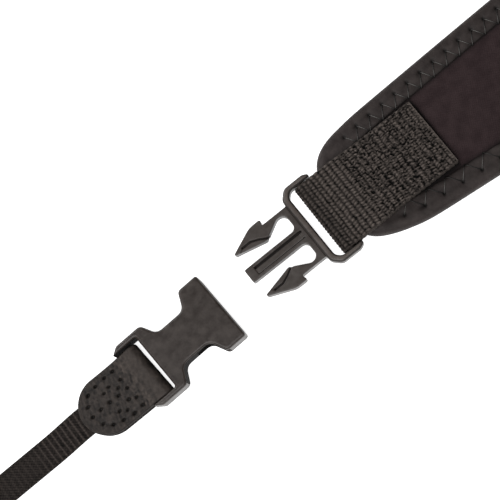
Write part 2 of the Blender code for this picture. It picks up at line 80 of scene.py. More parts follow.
# Frames of the two ends
END_SKEW = math.radians(3.4)
PAD_SIDE_SHIFT = 0.0021
WEBBING_SKEW = math.radians(-1.7)
WEBBING_SIDE_SHIFT = 0.00103
MALE_X = -0.01636
MALE_Y = 0.00115
MALE_YAW = math.radians(-1.8)
GAP = 0.0003

# Ribbed webbing
WEBBING_WIDTH = 0.0254
WEBBING_WALL = 0.00135
WEBBING_LAYER_GAP = 0.0001
WEBBING_SEWN_END = 0.0353
WEBBING_KNEE = -0.0012
WEBBING_KNEE_REACH = 0.0020

# Male half of the buckle
PRONG_HALF_HEIGHT = 0.00185
BASE_PLATE_START = -0.0004
BASE_PLATE_END = 0.0021
CENTRE_PRONG_LENGTH = 0.0212
CENTRE_PRONG_HALF_WIDTH = 0.0025
SIDE_PRONG_LENGTH = 0.0211
BARB_HALF_SPAN = 0.0122
ARM_HALF_SPAN = 0.01025
ARM_INNER_HALF_SPAN = 0.00885
FRAME_START = 0.0015
FRAME_BAR_END = 0.00385
FRAME_LENGTH_END = 0.0132
FRAME_HALF_WIDTH = 0.01505
FRAME_INNER_HALF_WIDTH = 0.0132
FRAME_HALF_HEIGHT = 0.0023
FRAME_CORNER = 0.0028
FRAME_INNER_CORNER = 0.0017
MALE_BAR_X = 0.0091
BAR_RADIUS = 0.0011

# Female half of the buckle
BODY_HALF_HEIGHT = 0.0034
MOUTH_HALF_WIDTH = 0.01245
MOUTH_LENGTH = 0.0076
WAIST_HALF_WIDTH = 0.00665
WAIST_START = 0.0103
WAIST_END = 0.0209
REAR_START = 0.0237
REAR_HALF_WIDTH = 0.0121
REAR_SLOT_EDGE = 0.0270
FORK_TAPER_START = 0.0336
FORK_END = 0.0364
FORK_INNER_HALF_WIDTH = 0.0101
FEMALE_BAR_X = -0.0310
CAVITY_HALF_HEIGHT = 0.0022
CAVITY_HALF_WIDTH = 0.0110
SIDE_WALL_LENGTH = 0.0067
WINDOW_END = 0.0155
GUIDE_INNER = 0.00265
GUIDE_START = 0.0120
GUIDE_START_OUTER = 0.0054
GUIDE_OUTER = 0.0061
CHANNEL_ROOM_END = 0.0224

# Leather tab
TAB_HALF_WIDTH = 0.0096
TAB_WALL = 0.0014
TAB_END = -0.0566
TAB_KNEE = -0.0400
TAB_KNEE_REACH = 0.0040
TAB_LOWER_Z = 0.0007
TAB_UPPER_Z = 0.0039

# Narrow webbing and its keeper
LUG_HALF_WIDTH = 0.0049
LUG_WALL = 0.0012
LUG_START = -0.0390
LUG_LENGTH = 0.160
LUG_SETTLE = 0.014
EYE_RADIUS = 0.0036
EYE_FLAT = 0.0060
EYE_KNEE = 0.0170
EYE_KNEE_REACH = 0.0030
TAIL_LENGTH = 0.0420
TAIL_KNEE_REACH = 0.0020
STRAND_GAP = 0.0002
KEEPER_DISTANCE = 0.0240
KEEPER_RISE = 0.0140
KEEPER_LENGTH = 0.0060
KEEPER_HALF_WIDTH = 0.0066
KEEPER_INNER_HALF_WIDTH = 0.0054
KEEPER_WALL = 0.0010
KEEPER_LIFT = KEEPER_WALL + GAP

END_COLUMNS = (
    "name", "side", "male_z", "male_turn", "mouth_x", "mouth_y", "female_yaw",
    "tab_shift", "tab_turn", "fold_skew", "lug_shift", "lug_skew",
)
ENDS = (
    (
        "shown", 1, 0.0060, math.radians(0.9), -0.0499, 0.0010, math.radians(1.5),
        -0.0004, math.radians(-2.1), math.radians(3.6), 0.0011, math.radians(-1.5),
    ),
    ("far", -1, BODY_HALF_HEIGHT, 0.0, MALE_X - GAP, MALE_Y, MALE_YAW, 0.0, 0.0, 0.0, 0.0, 0.0),
)

# Camera: what it looks at in the shown end's frame, and how it stands to that frame
CAMERA_TARGET = (-0.0320, 0.0101, 0.0)
CAMERA_DISTANCE = 0.441
CAMERA_ELEVATION = math.radians(76)
CAMERA_ROLL = math.radians(39.6)
CAMERA_LENS = 100.0
CAMERA_SENSOR = 36.0


# ---------------------------------------------------------------- meshes


def grid_faces(rows, columns, closed_rows=False, closed_columns=False):
    """Quads of a grid of points that is numbered row by row."""
    r = np.arange(rows if closed_rows else rows - 1)[:, None]
    c = np.arange(columns if closed_columns else columns - 1)[None, :]
    after_r = (r + 1) % rows
    after_c = (c + 1) % columns
    corners = (r * columns + c, r * columns + after_c, after_r * columns + after_c, after_r * columns + c)
    return np.stack([np.broadcast_to(k, (r.size, c.size)).ravel() for k in corners], axis=1)


def lit(mesh, shade):
    """The mesh, carrying this share of light at each of its points."""
    layer = mesh.attributes.new("shade", "FLOAT", "POINT")
    layer.data.foreach_set("value", np.asarray(shade).astype(np.float32).ravel())
    return mesh


def built(name, points, faces, uv=None, shade=None):
    """A mesh, with each point's place on the cloth in metres and its share of light if given."""
    mesh = bpy.data.meshes.new(name)
    mesh.from_pydata(np.asarray(points).reshape(-1, 3).tolist(), [], [tuple(f) for f in faces])
    if uv is not None:
        corner_points = np.zeros(len(mesh.loops), dtype=np.int32)
        mesh.loops.foreach_get("vertex_index", corner_points)
        layer = mesh.uv_layers.new(name="cloth")
        layer.data.foreach_set("uv", np.asarray(uv).reshape(-1, 2)[corner_points].astype(np.float32).ravel())
    if shade is not None:
        lit(mesh, shade)
    mesh.update()
    return mesh


def swept(name, rings, uv=None, shade=None):
    """A solid through rings of as many points each, closed by a flat face at both ends."""
    rows, columns = rings.shape[:2]
    faces = grid_faces(rows, columns, closed_columns=True).tolist()
    faces.append(list(range(columns))[::-1])
    faces.append(list(range(columns * (rows - 1), columns * rows)))
    return built(name, rings, faces, uv, shade)


def outward(mesh):
    """Turns the faces of a closed mesh outwards."""
    shape = bmesh.new()
    shape.from_mesh(mesh)
    bmesh.ops.recalc_face_normals(shape, faces=shape.faces)
    shape.to_mesh(mesh)
    shape.free()
    return mesh


def added(name, data):
    """A new object of the scene."""
    obj = bpy.data.objects.new(name, data)
    bpy.context.scene.collection.objects.link(obj)
    return obj


def evaluated(mesh, add_modifiers):
    """The mesh after the modifiers that add_modifiers puts on a helper object."""
    helper = added("helper", mesh)
    add_modifiers(helper)
    bpy.context.view_layer.update()
    graph = bpy.context.evaluated_depsgraph_get()
    result = bpy.data.meshes.new_from_object(helper.evaluated_get(graph))
    bpy.data.objects.remove(helper, do_unlink=True)
    return result


def combined(base, steps):
    """One mesh from base and rows of operation and mesh, worked through Boolean modifiers."""
    helpers = []

    def add_modifiers(main):
        for operation, mesh in steps:
            helper = added("cutter", mesh)
            helper.hide_render = True
            cut = main.modifiers.new(operation, "BOOLEAN")
            cut.operation = operation
            cut.solver = "EXACT"
            cut.object = helper
            helpers.append(helper)

    result = evaluated(base, add_modifiers)
    for helper in helpers:
        bpy.data.objects.remove(helper, do_unlink=True)
    return result


# How moulded plastic gets its soft edges, once as a plain form and again when it is carved
MOULDING = {
    # voxel, rounds of smoothing, share of the faces kept
    "male_form": (0.00020, 6, 0.30),
    "male_carved": (0.00015, 1, 0.35),
    "female_form": (0.00020, 5, 0.30),
    "female_carved": (0.00018, 1, 0.25),
    "keeper": (0.00016, 10, 0.30),
}


def moulded(mesh, moulding):
    """The solid with its edges softened as moulded plastic: remeshed, smoothed and thinned out."""
    voxel, rounds, keep = MOULDING[moulding]

    def add_modifiers(obj):
        remesh = obj.modifiers.new("Remesh", "REMESH")
        remesh.mode = "VOXEL"
        remesh.voxel_size = voxel
        smooth = obj.modifiers.new("Smooth", "SMOOTH")
        smooth.factor = 0.5
        smooth.iterations = rounds
        thin = obj.modifiers.new("Thin", "DECIMATE")
        thin.ratio = keep

    return evaluated(mesh, add_modifiers)


def points_of(mesh):
    return np.array([v.co for v in mesh.vertices])


def put(name, mesh, place, material, node=None, sharp_angle=None):
    """Puts a mesh in its place as a piece of the strap, standing for the named solid."""
    mesh = mesh.copy()
    mesh.name = name
    mesh.transform(place)
    if place.determinant() < 0:
        mesh.flip_normals()
    mesh.materials.clear()
    mesh.materials.append(material)
    mesh.shade_smooth()
    if sharp_angle is not None:
        mesh.set_sharp_from_angle(angle=sharp_angle)
    obj = added(name, mesh)
    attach(obj, "root")
    if node:
        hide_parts(node)
    return obj


# ---------------------------------------------------------------- flat outlines


def rounded(corners, arc_step=math.radians(9)):
    """A closed outline from rows of x, y and corner radius, with each corner turned into an arc."""
    points = []
    for i, (x, y, radius) in enumerate(corners):
        corner = Vector((x, y))
        before = Vector(corners[i - 1][:2]) - corner
        after = Vector(corners[(i + 1) % len(corners)][:2]) - corner
        turn = math.pi - before.angle(after)
        if radius <= 0 or turn < math.radians(2):
            points.append(corner)
            continue
        reach = radius * math.tan(turn / 2)
        start = corner + before.normalized() * reach
        end = corner + after.normalized() * reach
        middle = (start + end) / 2
        centre = corner + (middle - corner).normalized() * math.hypot(radius, reach)
        steps = max(1, math.ceil(turn / arc_step))
        for k in range(steps + 1):
            spoke = (start - centre).slerp(end - centre, k / steps)
            points.append(centre + spoke.normalized() * radius)
    return points


def both_sides(half):
    """A closed outline from the rows of its +Y half, which starts and ends on the X axis or beside it."""
    return list(half) + [(x, -y, radius) for x, y, radius in reversed(half) if y != 0]


def drawn_in(corners, amount):
    """The corner rows of a closed outline that lies the amount inside this one."""
    around = zip(corners, corners[1:] + corners[:1])
    way = math.copysign(1, sum(x0 * y1 - x1 * y0 for (x0, y0, _), (x1, y1, _) in around))
    moved = []
    for i, (x, y, radius) in enumerate(corners):
        corner = Vector((x, y))
        before = (corner - Vector(corners[i - 1][:2])).normalized()
        after = (Vector(corners[(i + 1) % len(corners)][:2]) - corner).normalized()
        inwards = way * Vector((-before.y - after.y, before.x + after.x)).normalized()
        share = max(0.3, way * inwards.dot(Vector((-before.y, before.x))))
        corner = corner + inwards * amount / share
        bulges = way * (before.x * after.y - before.y * after.x) > 0
        moved.append((corner.x, corner.y, max(0.0, radius - amount if bulges else radius + amount)))
    return moved


def prism(outline, low, high):
    """The outline as an upright solid from low to high."""
    rings = np.array([[(p[0], p[1], z) for p in outline] for z in (low, high)])
    return outward(swept("prism", rings))


def terraced(corners, terraces):
    """A plate with stepped edges, from rows of how far in a step lies and its half height."""
    steps = [prism(rounded(drawn_in(corners, amount)), -height, height) for amount, height in terraces]
    return combined(steps[0], [("UNION", step) for step in steps[1:]])


def rectangle(x0, x1, y0, y1):
    return [(x0, y0), (x1, y0), (x1, y1), (x0, y1)]


def cross_bar(x, half_length, radius, sides=40):
    """A round bar along Y."""
    turns = np.linspace(0, 2 * math.pi, sides, endpoint=False)
    ring = [(x + radius * math.cos(t), radius * math.sin(t)) for t in turns]
    rings = np.array([[(across, y, up) for across, up in ring] for y in (-half_length, half_length)])
    return outward(swept("bar", rings))


# ---------------------------------------------------------------- values over a surface


def blend(values, zero_at, one_at):
    """From 0 at one value to 1 at the other, which may be the smaller one, and no further."""
    return np.clip((values - zero_at) / (one_at - zero_at), 0, 1)


def bell(distance, width, power=2):
    """1 at no distance, and fading out over about the width."""
    return np.exp(-((distance / width) ** power))


def unit(vectors):
    return vectors / np.linalg.norm(vectors, axis=1)[:, None]


def smooth_noise(u, v, cell, seed):
    """Even noise from -1 to 1, with cells of the given size along u and v."""
    u, v = u / cell[0], v / cell[1]
    generator = np.random.default_rng(seed)
    table = generator.uniform(-1, 1, (64, 64))
    u0, v0 = np.floor(u).astype(int), np.floor(v).astype(int)
    fu, fv = u - u0, v - v0
    fu, fv = fu * fu * (3 - 2 * fu), fv * fv * (3 - 2 * fv)
    corner = [[table[(u0 + i) % 64, (v0 + j) % 64] for j in (0, 1)] for i in (0, 1)]
    low = corner[0][0] * (1 - fv) + corner[0][1] * fv
    high = corner[1][0] * (1 - fv) + corner[1][1] * fv
    return low * (1 - fu) + high * fu


# ---------------------------------------------------------------- bands


def bend(before, corner, after, reach, steps=12):
    """Points of a smooth bend at a corner of a path, reach away from it on both sides."""
    before, corner, after = (np.array(p) for p in (before, corner, after))
    start = corner + (before - corner) * reach / np.linalg.norm(before - corner)
    end = corner + (after - corner) * reach / np.linalg.norm(after - corner)
    shares = np.linspace(0, 1, steps + 1)
    return [tuple((1 - t) ** 2 * start + 2 * t * (1 - t) * corner + t * t * end) for t in shares]


def round_bar(centre, radius, upper, lower, steps=48):
    """Arc of a band laid round the far side of a bar at -X of its strands' points upper and lower."""
    angles = []
    for (x, z), turn in ((upper, 1), (lower, -1)):
        dx, dz = x - centre[0], z - centre[1]
        angles.append(math.atan2(dz, dx) + turn * math.acos(radius / math.hypot(dx, dz)))
    turns = np.linspace(angles[0], angles[1] + 2 * math.pi, steps + 1)
    return [(centre[0] + radius * math.cos(t), centre[1] + radius * math.sin(t)) for t in turns]


def fold(start, knee, bar, radius, upper_z, lower_z, knee_reach):
    """A doubled band's path from its end at x = start, round a bar on its -X side, and back."""
    upper = (knee, upper_z)
    lower = (knee, lower_z)
    arc = round_bar(bar, radius, upper, lower)
    return [
        (start, upper_z),
        *bend((start, upper_z), upper, arc[0], knee_reach),
        *arc,
        *bend(arc[-1], lower, (start, lower_z), knee_reach),
        (start, lower_z),
    ]


def even_path(path, step):
    """The path's points at even distances, and those distances."""
    path = np.array(path)
    lengths = np.linalg.norm(np.diff(path, axis=0), axis=1)
    keep = np.concatenate([[True], lengths > 1e-7])
    path = path[keep]
    along = np.concatenate([[0], np.cumsum(np.linalg.norm(np.diff(path, axis=0), axis=1))])
    count = max(2, int(round(along[-1] / step)) + 1)
    distances = np.linspace(0, along[-1], count)
    return np.column_stack([np.interp(distances, along, path[:, k]) for k in (0, 1)]), distances


# The floor of the frames that bands are made in, and the share of light on their long edges
BAND_LOWEST = 0.00001
EDGE_SHADE = 0.55
# How much of the tab's and the narrow webbing's walls their fine relief stands up in
RELIEF_ROOM = 0.0001


def band(name, path, distances, half_widths, wall, columns, relief, edge_steps=3):
    """A closed band swept along a path of x and z, with half round long edges.

    relief(distance, y, face) gives the height that a face is carved to and its share of light. Face 1 is
    the outer side of a fold, and face -1 its inner side, and columns says how many points lie across each.
    """
    along = unit(np.gradient(path, axis=0))
    outside = np.column_stack([along[:, 1], -along[:, 0]])
    radius = wall / 2
    turns = np.linspace(0, math.pi, edge_steps + 2)[1:-1]
    flat = np.maximum(half_widths - radius, 1e-5)
    strips = []
    for face, count in zip((1, -1), columns):
        y = flat[:, None] * np.linspace(-face, face, count)[None, :]
        height, shade = relief(distances[:, None] + 0 * y, y, face)
        strips.append((y, face * (radius + height), shade))
        y = face * (flat[:, None] + np.minimum(radius, half_widths)[:, None] * np.sin(turns)[None, :])
        strips.append((y, face * radius * np.cos(turns)[None, :] + 0 * y, EDGE_SHADE + 0 * y))
    y, up, shade = (np.concatenate(parts, axis=1) for parts in zip(*strips))
    height = np.maximum(path[:, 1:] + outside[:, 1:] * up, BAND_LOWEST)
    points = np.stack([path[:, :1] + outside[:, :1] * up, y, height], axis=2)
    return outward(swept(name, points, np.stack([distances[:, None] + 0 * y, y], axis=2), shade))


# Ribs between the webbing's cut end and places along it
RIB_COUNTS = (
    # distance, ribs
    (0.0, 0.0), (0.0026, 2.0), (0.0377, 20.0), (0.0472, 26.0),
)
RIB_HEIGHT = 0.00044
# Pitch of the yarn loops along a rib, and how much tighter it is in the sewn ribs
LOOP_PITCH = 0.00118
LOOP_TIGHTENING = 0.00022
SEWN_RIBS = 18
# Where the webbing is sewn down, counted from its cut end, and how it changes there
SEWN_START = 0.0315
SEWN_BLEND = 0.005
SEWN_NOISE = 0.00014
SEWN_NARROWING = 0.00040
FREE_WIDENING = 0.00015
# The cut end that is sealed smooth
SEALED_LENGTH = 0.0006
# How much darker the webbing is where it goes round its bar
FOLD_SHADE = 0.42
FOLD_SHADE_START = 0.0395
FOLD_SHADE_FULL = 0.0425
# Sizes along and across of the unevenness of the ribs, of the yarns and of the fibres
DRIFT_CELL = (0.0040, 0.0024)
COARSE_CELL = (0.00046, 0.00042)
FINE_CELL = (0.00036, 0.00034)


def rib_phase(distance):
    """How many ribs lie between the webbing's cut end and a place along it."""
    distances, ribs = zip(*RIB_COUNTS)
    return np.interp(distance, distances, ribs)


def webbing_relief(length):
    """Ribs that run across the webbing, each a row of yarn loops, and uneven where it is sewn down."""

    def relief(distance, y, face):
        from_end = np.minimum(distance, length - distance)
        sewn = blend(from_end, SEWN_START, SEWN_START - SEWN_BLEND)
        drift = smooth_noise(distance, y, DRIFT_CELL, 7 + face)
        coarse = smooth_noise(distance, y, COARSE_CELL, 3 + face)
        fine = smooth_noise(distance, y, FINE_CELL, 5 + face)
        phase = rib_phase(from_end) + (0.05 + 0.11 * sewn) * drift + 0.10 * sewn * coarse
        rib = np.floor(phase)
        across = np.abs(np.sin(math.pi * phase))
        slant = 0.32 * (phase - rib - 0.5) * np.where(rib % 2 > 0, 1, -1)
        offset = 0.5 * (rib % 2) + 0.31 * np.sin(5.3 * rib) + slant + (0.16 + 0.30 * sewn) * drift
        pitch = LOOP_PITCH - LOOP_TIGHTENING * blend(rib, SEWN_RIBS, SEWN_RIBS - 3)
        loop = 0.5 + 0.5 * np.cos(2 * math.pi * (y / pitch + offset))
        body = across ** (0.85 - 0.25 * sewn) * (0.30 + 0.70 * loop**0.75)
        pits = np.clip(-coarse - 0.14, 0, 1) * (0.5 + 0.9 * sewn)
        height = RIB_HEIGHT * (body - 0.55) + sewn * SEWN_NOISE * (coarse - 1.4 * pits)
        light = 0.06 + (1.44 - 0.16 * sewn) * body**1.1 + (0.30 + 0.35 * sewn) * fine * (0.3 + body)
        in_shade = FOLD_SHADE * blend(from_end, FOLD_SHADE_START, FOLD_SHADE_FULL)
        shade = np.clip(light - 1.5 * pits, 0.0, 1.8) * (1 - in_shade)
        sealed = blend(from_end, SEALED_LENGTH, 0)
        return height * (1 - 0.7 * sealed), shade + (1.25 - shade) * sealed

    return relief


# How much of the webbing's wall its ribs stand up in, and how far they wave its long edges
WEBBING_HOLLOW = 0.00030
EDGE_RIPPLE = 0.00008
WEBBING_STEP = 0.00028
WEBBING_COLUMNS = (106, 24)


def webbing_loop(male_z):
    """Ribbed webbing sewn on the pad, folded round the male half's bar and back under itself."""
    lower_z = PAD_THICKNESS + GAP + WEBBING_WALL / 2
    upper_z = lower_z + WEBBING_WALL + WEBBING_LAYER_GAP
    bar = (MALE_X + MALE_BAR_X, male_z)
    radius = BAR_RADIUS + GAP + WEBBING_WALL / 2
    rough = fold(WEBBING_SEWN_END, WEBBING_KNEE, bar, radius, upper_z, lower_z, WEBBING_KNEE_REACH)
    path, distances = even_path(rough, WEBBING_STEP)
    from_end = np.minimum(distances, distances[-1] - distances)
    sewn = blend(from_end, SEWN_START, SEWN_START - 2 * SEWN_BLEND)
    ripple = EDGE_RIPPLE * np.cos(2 * math.pi * rib_phase(from_end))
    half_widths = WEBBING_WIDTH / 2 + FREE_WIDENING - ripple - SEWN_NARROWING * sewn
    wall = WEBBING_WALL - WEBBING_HOLLOW
    relief = webbing_relief(distances[-1])
    return band("webbing", path, distances, half_widths, wall, WEBBING_COLUMNS, relief)


# ---------------------------------------------------------------- leather tab

TAB_TIP_X = TAB_END - 0.0003
TAB_STEP = 0.00026
# How far from its tip the tab's band starts, where it has some width
TAB_TIP_GAP = 0.00002
# How many points lie across the tab's outer and its inner side
TAB_COLUMNS = (96, 20)
# The half width of its fold, and the places along it between which it widens to that
TAB_FOLD_HALF_WIDTH = 0.0098
TAB_WIDENING = (0.0195, 0.0262)
# Where along it the tab starts to turn back to lie on the bar, and over what length
TAB_SKEW_START = 0.012
TAB_SKEW_REACH = 0.011
# Stitch holes of the box and its cross in the tab: distance from its round end, and y
TAB_HOLES = (
    (0.01724, 0.00717), (0.01380, 0.00724), (0.00991, 0.00684), (0.00628, 0.00602),
    (0.00426, 0.00317), (0.00361, -0.00028), (0.00490, -0.00405), (0.00731, -0.00625),
    (0.01076, -0.00719), (0.01468, -0.00767), (0.01832, -0.00737), (0.01832, -0.00417),
    (0.01776, 0.00003), (0.01763, 0.00354), (0.00708, -0.00003), (0.01056, 0.00010),
    (0.01406, -0.00006), (0.01084, 0.00337), (0.01311, 0.00409), (0.01561, 0.00194),
    (0.01592, -0.00308), (0.01141, -0.00418), (0.01368, -0.00546),
)
# How many of the holes, in turn, are the box's
TAB_SEAM = 14
TAB_HOLE_RADIUS = 0.00046
TAB_HOLE_STRETCH = 1.35
TAB_HOLE_DEPTH = 0.00065
# How deep the leather is drawn in round a hole and along the box's seam, and how much darker the seam is
TAB_PULL_DEPTH = 0.00008
TAB_GROOVE_DEPTH = 0.00010
TAB_GROOVE_HALF_WIDTH = 0.0004
TAB_GROOVE_DARKER = 0.40
PEBBLE_CELL = (0.00058, 0.00058)
WRINKLE_CELL = (0.00060, 0.0016)
TAB_ZONES = (
    # distance from the round end, share of light, unevenness of the light, height of the wrinkles
    (0.0000, 0.82, 0.75, 0.00005), (0.0178, 0.80, 0.80, 0.00006), (0.0193, 1.02, 1.10, 0.00010),
    (0.0223, 1.08, 0.85, 0.00008), (0.0237, 1.25, 0.25, 0.00001), (0.0261, 1.22, 0.25, 0.00001),
    (0.0275, 0.92, 0.60, 0.00004), (0.0400, 0.80, 0.50, 0.00003),
)


def tab_path():
    """The folded tab's path, from the round end of its upper layer round the bar to that of the lower."""
    start = TAB_TIP_X + TAB_TIP_GAP
    bar = (-FEMALE_BAR_X, BODY_HALF_HEIGHT)
    radius = BAR_RADIUS + GAP + TAB_WALL / 2
    mirrored = fold(-start, -TAB_KNEE, bar, radius, TAB_UPPER_Z, TAB_LOWER_Z, TAB_KNEE_REACH)
    return even_path([(-x, z) for x, z in reversed(mirrored)], TAB_STEP)


TAB_PATH_LENGTH = tab_path()[1][-1]


def seam_groove(from_tip, y):
    """How much a place lies in the groove of the seam round the tab's stitches, from 0 to 1."""
    nearest = np.full(y.shape, 1.0)
    for i in range(TAB_SEAM):
        (x0, y0), (x1, y1) = TAB_HOLES[i], TAB_HOLES[(i + 1) % TAB_SEAM]
        dx, dy = x1 - x0, y1 - y0
        share = np.clip(((from_tip - x0) * dx + (y - y0) * dy) / (dx**2 + dy**2), 0, 1)
        nearest = np.minimum(nearest, np.hypot(from_tip - x0 - share * dx, y - y0 - share * dy))
    return bell(nearest, TAB_GROOVE_HALF_WIDTH)


def tab_relief(distance, y, face):
    """Stitch holes, the shallow groove of the seam between them, and wrinkles before the fold."""
    from_tip = np.minimum(distance, TAB_PATH_LENGTH - distance)
    places, lights, changes, folds = (np.array(values) for values in zip(*TAB_ZONES))
    light, change, wrinkle = (np.interp(from_tip, places, values) for values in (lights, changes, folds))
    pebble = smooth_noise(distance, y, PEBBLE_CELL, 5)
    wave = smooth_noise(distance + 0.4 * y, y - 0.3 * distance, WRINKLE_CELL, 9)
    uneven = 0.55 * pebble + 0.75 * wave
    height = wrinkle * uneven
    shade = light * np.clip(1 + change * uneven, 0.15, 2.0)
    if face < 0:
        return height, shade
    groove = seam_groove(from_tip, y)
    height = height - TAB_GROOVE_DEPTH * groove
    shade = shade * (1 - TAB_GROOVE_DARKER * groove)
    for i, (hole_x, hole_y) in enumerate(TAB_HOLES):
        lean = math.radians(30) * math.sin(2.4 * i)
        radius = TAB_HOLE_RADIUS * (1 + 0.12 * math.sin(5.1 * i))
        along = (from_tip - hole_x) * math.cos(lean) + (y - hole_y) * math.sin(lean)
        across = (y - hole_y) * math.cos(lean) - (from_tip - hole_x) * math.sin(lean)
        far = (along / TAB_HOLE_STRETCH) ** 2 + across**2
        hole = bell(far, radius**2, 1.5)
        height = height - TAB_HOLE_DEPTH * hole - TAB_PULL_DEPTH * bell(far, (2.5 * radius) ** 2, 1)
        shade = shade * (1 - 0.97 * hole)
    return height, shade


def leather_tab(fold_skew):
    """Leather folded round the female half's bar, both layers ending in the same half circle.

    Its origin is under the middle of that bar, and its fold is turned back by fold_skew.
    """
    path, distances = tab_path()
    from_tip = path[:, 0] - TAB_TIP_X
    inside = blend(from_tip, TAB_HALF_WIDTH, 0)
    widened = np.interp(from_tip, TAB_WIDENING, (TAB_HALF_WIDTH, TAB_FOLD_HALF_WIDTH))
    half_widths = widened * np.sqrt(1 - inside**2)
    path = path - (FEMALE_BAR_X, 0)
    mesh = band("tab", path, distances, half_widths, TAB_WALL - RELIEF_ROOM, TAB_COLUMNS, tab_relief)
    for vertex in mesh.vertices:
        share = min(1.0, max(0.0, (vertex.co.x + TAB_SKEW_START) / TAB_SKEW_REACH))
        vertex.co.x -= vertex.co.y * math.tan(fold_skew) * share
    return mesh


# ---------------------------------------------------------------- narrow webbing

# Raised picks across the webbing beside the tab
LUG_RIDGES = 6
LUG_RIDGE_PITCH = 0.00190
LUG_RIDGE_HEIGHT = 0.00020
# Pitch of the yarns along and across the webbing, and size of the unevenness of their fibres
LUG_YARN = (0.00130, 0.00104)
LUG_GRAIN_CELL = (0.00045, 0.00042)
LUG_DRIFT_CELL = (0.0030, 0.0030)
LUG_YARN_HEIGHT = 0.00005
LUG_GRAIN_HEIGHT = 0.00004
# Pitch of the light dots along a raised pick, and how far from the tab the picks still slant
LUG_DOT_PITCH = 0.00100
LUG_SLANTED_LENGTH = 0.004
# How far from its edges the fine groove of a selvedge runs, its half width and its depth
LUG_SELVEDGE = 0.00110
LUG_SELVEDGE_HALF_WIDTH = 0.00022
LUG_SELVEDGE_DEPTH = 0.00008
LUG_STEP = 0.00032
# How many points lie across the side away from the eye's middle, and across the side towards it
LUG_COLUMNS = (24, 38)
# How far from the webbing's hidden start it comes out of the tab
TAB_END_DISTANCE = LUG_START - TAB_END


def lug_height(distance):
    """Mid height of the narrow webbing's lower strand, by its distance from the tab's round end."""
    on_floor = LUG_WALL / 2
    keeper = LUG_LENGTH - KEEPER_DISTANCE
    rows = (
        # distance, height
        (0.0, (TAB_LOWER_Z + TAB_UPPER_Z) / 2),
        (LUG_SETTLE, on_floor),
        (keeper - KEEPER_LENGTH - KEEPER_RISE, on_floor),
        (keeper - KEEPER_LENGTH, on_floor + KEEPER_LIFT),
        (keeper, on_floor + KEEPER_LIFT),
        (LUG_LENGTH - EYE_FLAT, on_floor),
        (LUG_LENGTH, on_floor),
    )
    for (d0, h0), (d1, h1) in zip(rows, rows[1:]):
        if distance <= d1:
            share = (1 - math.cos(math.pi * max(0.0, distance - d0) / (d1 - d0))) / 2
            return h0 + (h1 - h0) * share
    return on_floor


def lug_relief(distance, y, face):
    """A few raised picks across the webbing beside the tab, and a fine flat weave all along."""
    drift = smooth_noise(distance, y, LUG_DRIFT_CELL, 23)
    from_tab = distance - TAB_END_DISTANCE
    slant = 0.12 * y / LUG_HALF_WIDTH * blend(from_tab, LUG_SLANTED_LENGTH, 0)
    count = from_tab / LUG_RIDGE_PITCH + slant + 0.04 * drift
    ridges = np.where((count > 0.3) & (count < LUG_RIDGES * 3), np.cos(2 * math.pi * (count - 0.75)), 0)
    fading = np.clip((LUG_RIDGES * 2.2 - count) / LUG_RIDGES, 0.30, 1)
    yarn_x, yarn_y = LUG_YARN
    yarns = np.sin(2 * math.pi * (y / yarn_y + 0.15 * drift)) * np.sin(2 * math.pi * distance / yarn_x)
    grain = smooth_noise(distance, y, LUG_GRAIN_CELL, 21)
    pick = fading * np.clip(ridges, 0, 1) ** 2
    dots = 0.72 + 0.28 * np.cos(2 * math.pi * y / LUG_DOT_PITCH)
    plain = blend(count, LUG_RIDGES, 2 * LUG_RIDGES)
    selvedge = bell(LUG_HALF_WIDTH - np.abs(y) - LUG_SELVEDGE, LUG_SELVEDGE_HALF_WIDTH)
    height = LUG_RIDGE_HEIGHT * pick + LUG_YARN_HEIGHT * (1 + plain) * yarns
    height = height + LUG_GRAIN_HEIGHT * grain - LUG_SELVEDGE_DEPTH * selvedge
    weave = (0.24 + 0.26 * plain) * yarns + (0.34 - 0.18 * plain) * grain
    shade = 0.33 + 0.10 * plain + 1.45 * pick * dots + (1 - 0.6 * pick) * weave
    return height, np.clip(shade * (1 - 0.4 * selvedge * plain), 0.02, 1.8)


def lug_webbing():
    """Narrow webbing from inside the tab to its eye, and back along itself, its origin at the tab's end."""
    keeper = -LUG_LENGTH + KEEPER_DISTANCE
    along = np.linspace(TAB_END_DISTANCE, -LUG_LENGTH + EYE_FLAT, 400)
    strand = [(x, lug_height(max(0.0, -x))) for x in along]
    eye_mid = EYE_RADIUS + LUG_WALL / 2
    centre = (-LUG_LENGTH, LUG_WALL / 2 + eye_mid)
    step_up = LUG_WALL + STRAND_GAP
    knee_z = LUG_WALL / 2 + KEEPER_LIFT + step_up
    knee = (-LUG_LENGTH + EYE_KNEE, knee_z)
    keeper_end = (keeper + KEEPER_LENGTH, knee_z)
    tail = (-LUG_LENGTH + TAIL_LENGTH, LUG_WALL / 2 + step_up + GAP)
    arc = round_bar(centre, eye_mid, knee, (0.0, LUG_WALL / 2))[::-1]
    back = bend(arc[-1], knee, keeper_end, EYE_KNEE_REACH)
    rough = strand + arc + back + bend(knee, keeper_end, tail, TAIL_KNEE_REACH) + [tail]
    path, distances = even_path(rough, LUG_STEP)
    half_widths = np.full(len(path), LUG_HALF_WIDTH)
    return band("lug", path, distances, half_widths, LUG_WALL - RELIEF_ROOM, LUG_COLUMNS, lug_relief)


KEEPER_HEIGHT = 2 * KEEPER_WALL + 2 * LUG_WALL + STRAND_GAP + 2 * GAP
KEEPER_INSIDE_LIGHT = 0.4
# How far a cutter reaches out of what it cuts
CUT_PAST = 0.001


def keeper_shade(x, y, z):
    """Share of light at points of the keeper: less inside the ring."""
    inside = (np.abs(y) < KEEPER_INNER_HALF_WIDTH + GAP) & (np.abs(z - KEEPER_HEIGHT / 2) < KEEPER_HEIGHT / 3)
    return np.where(inside, KEEPER_INSIDE_LIGHT, 1.0)


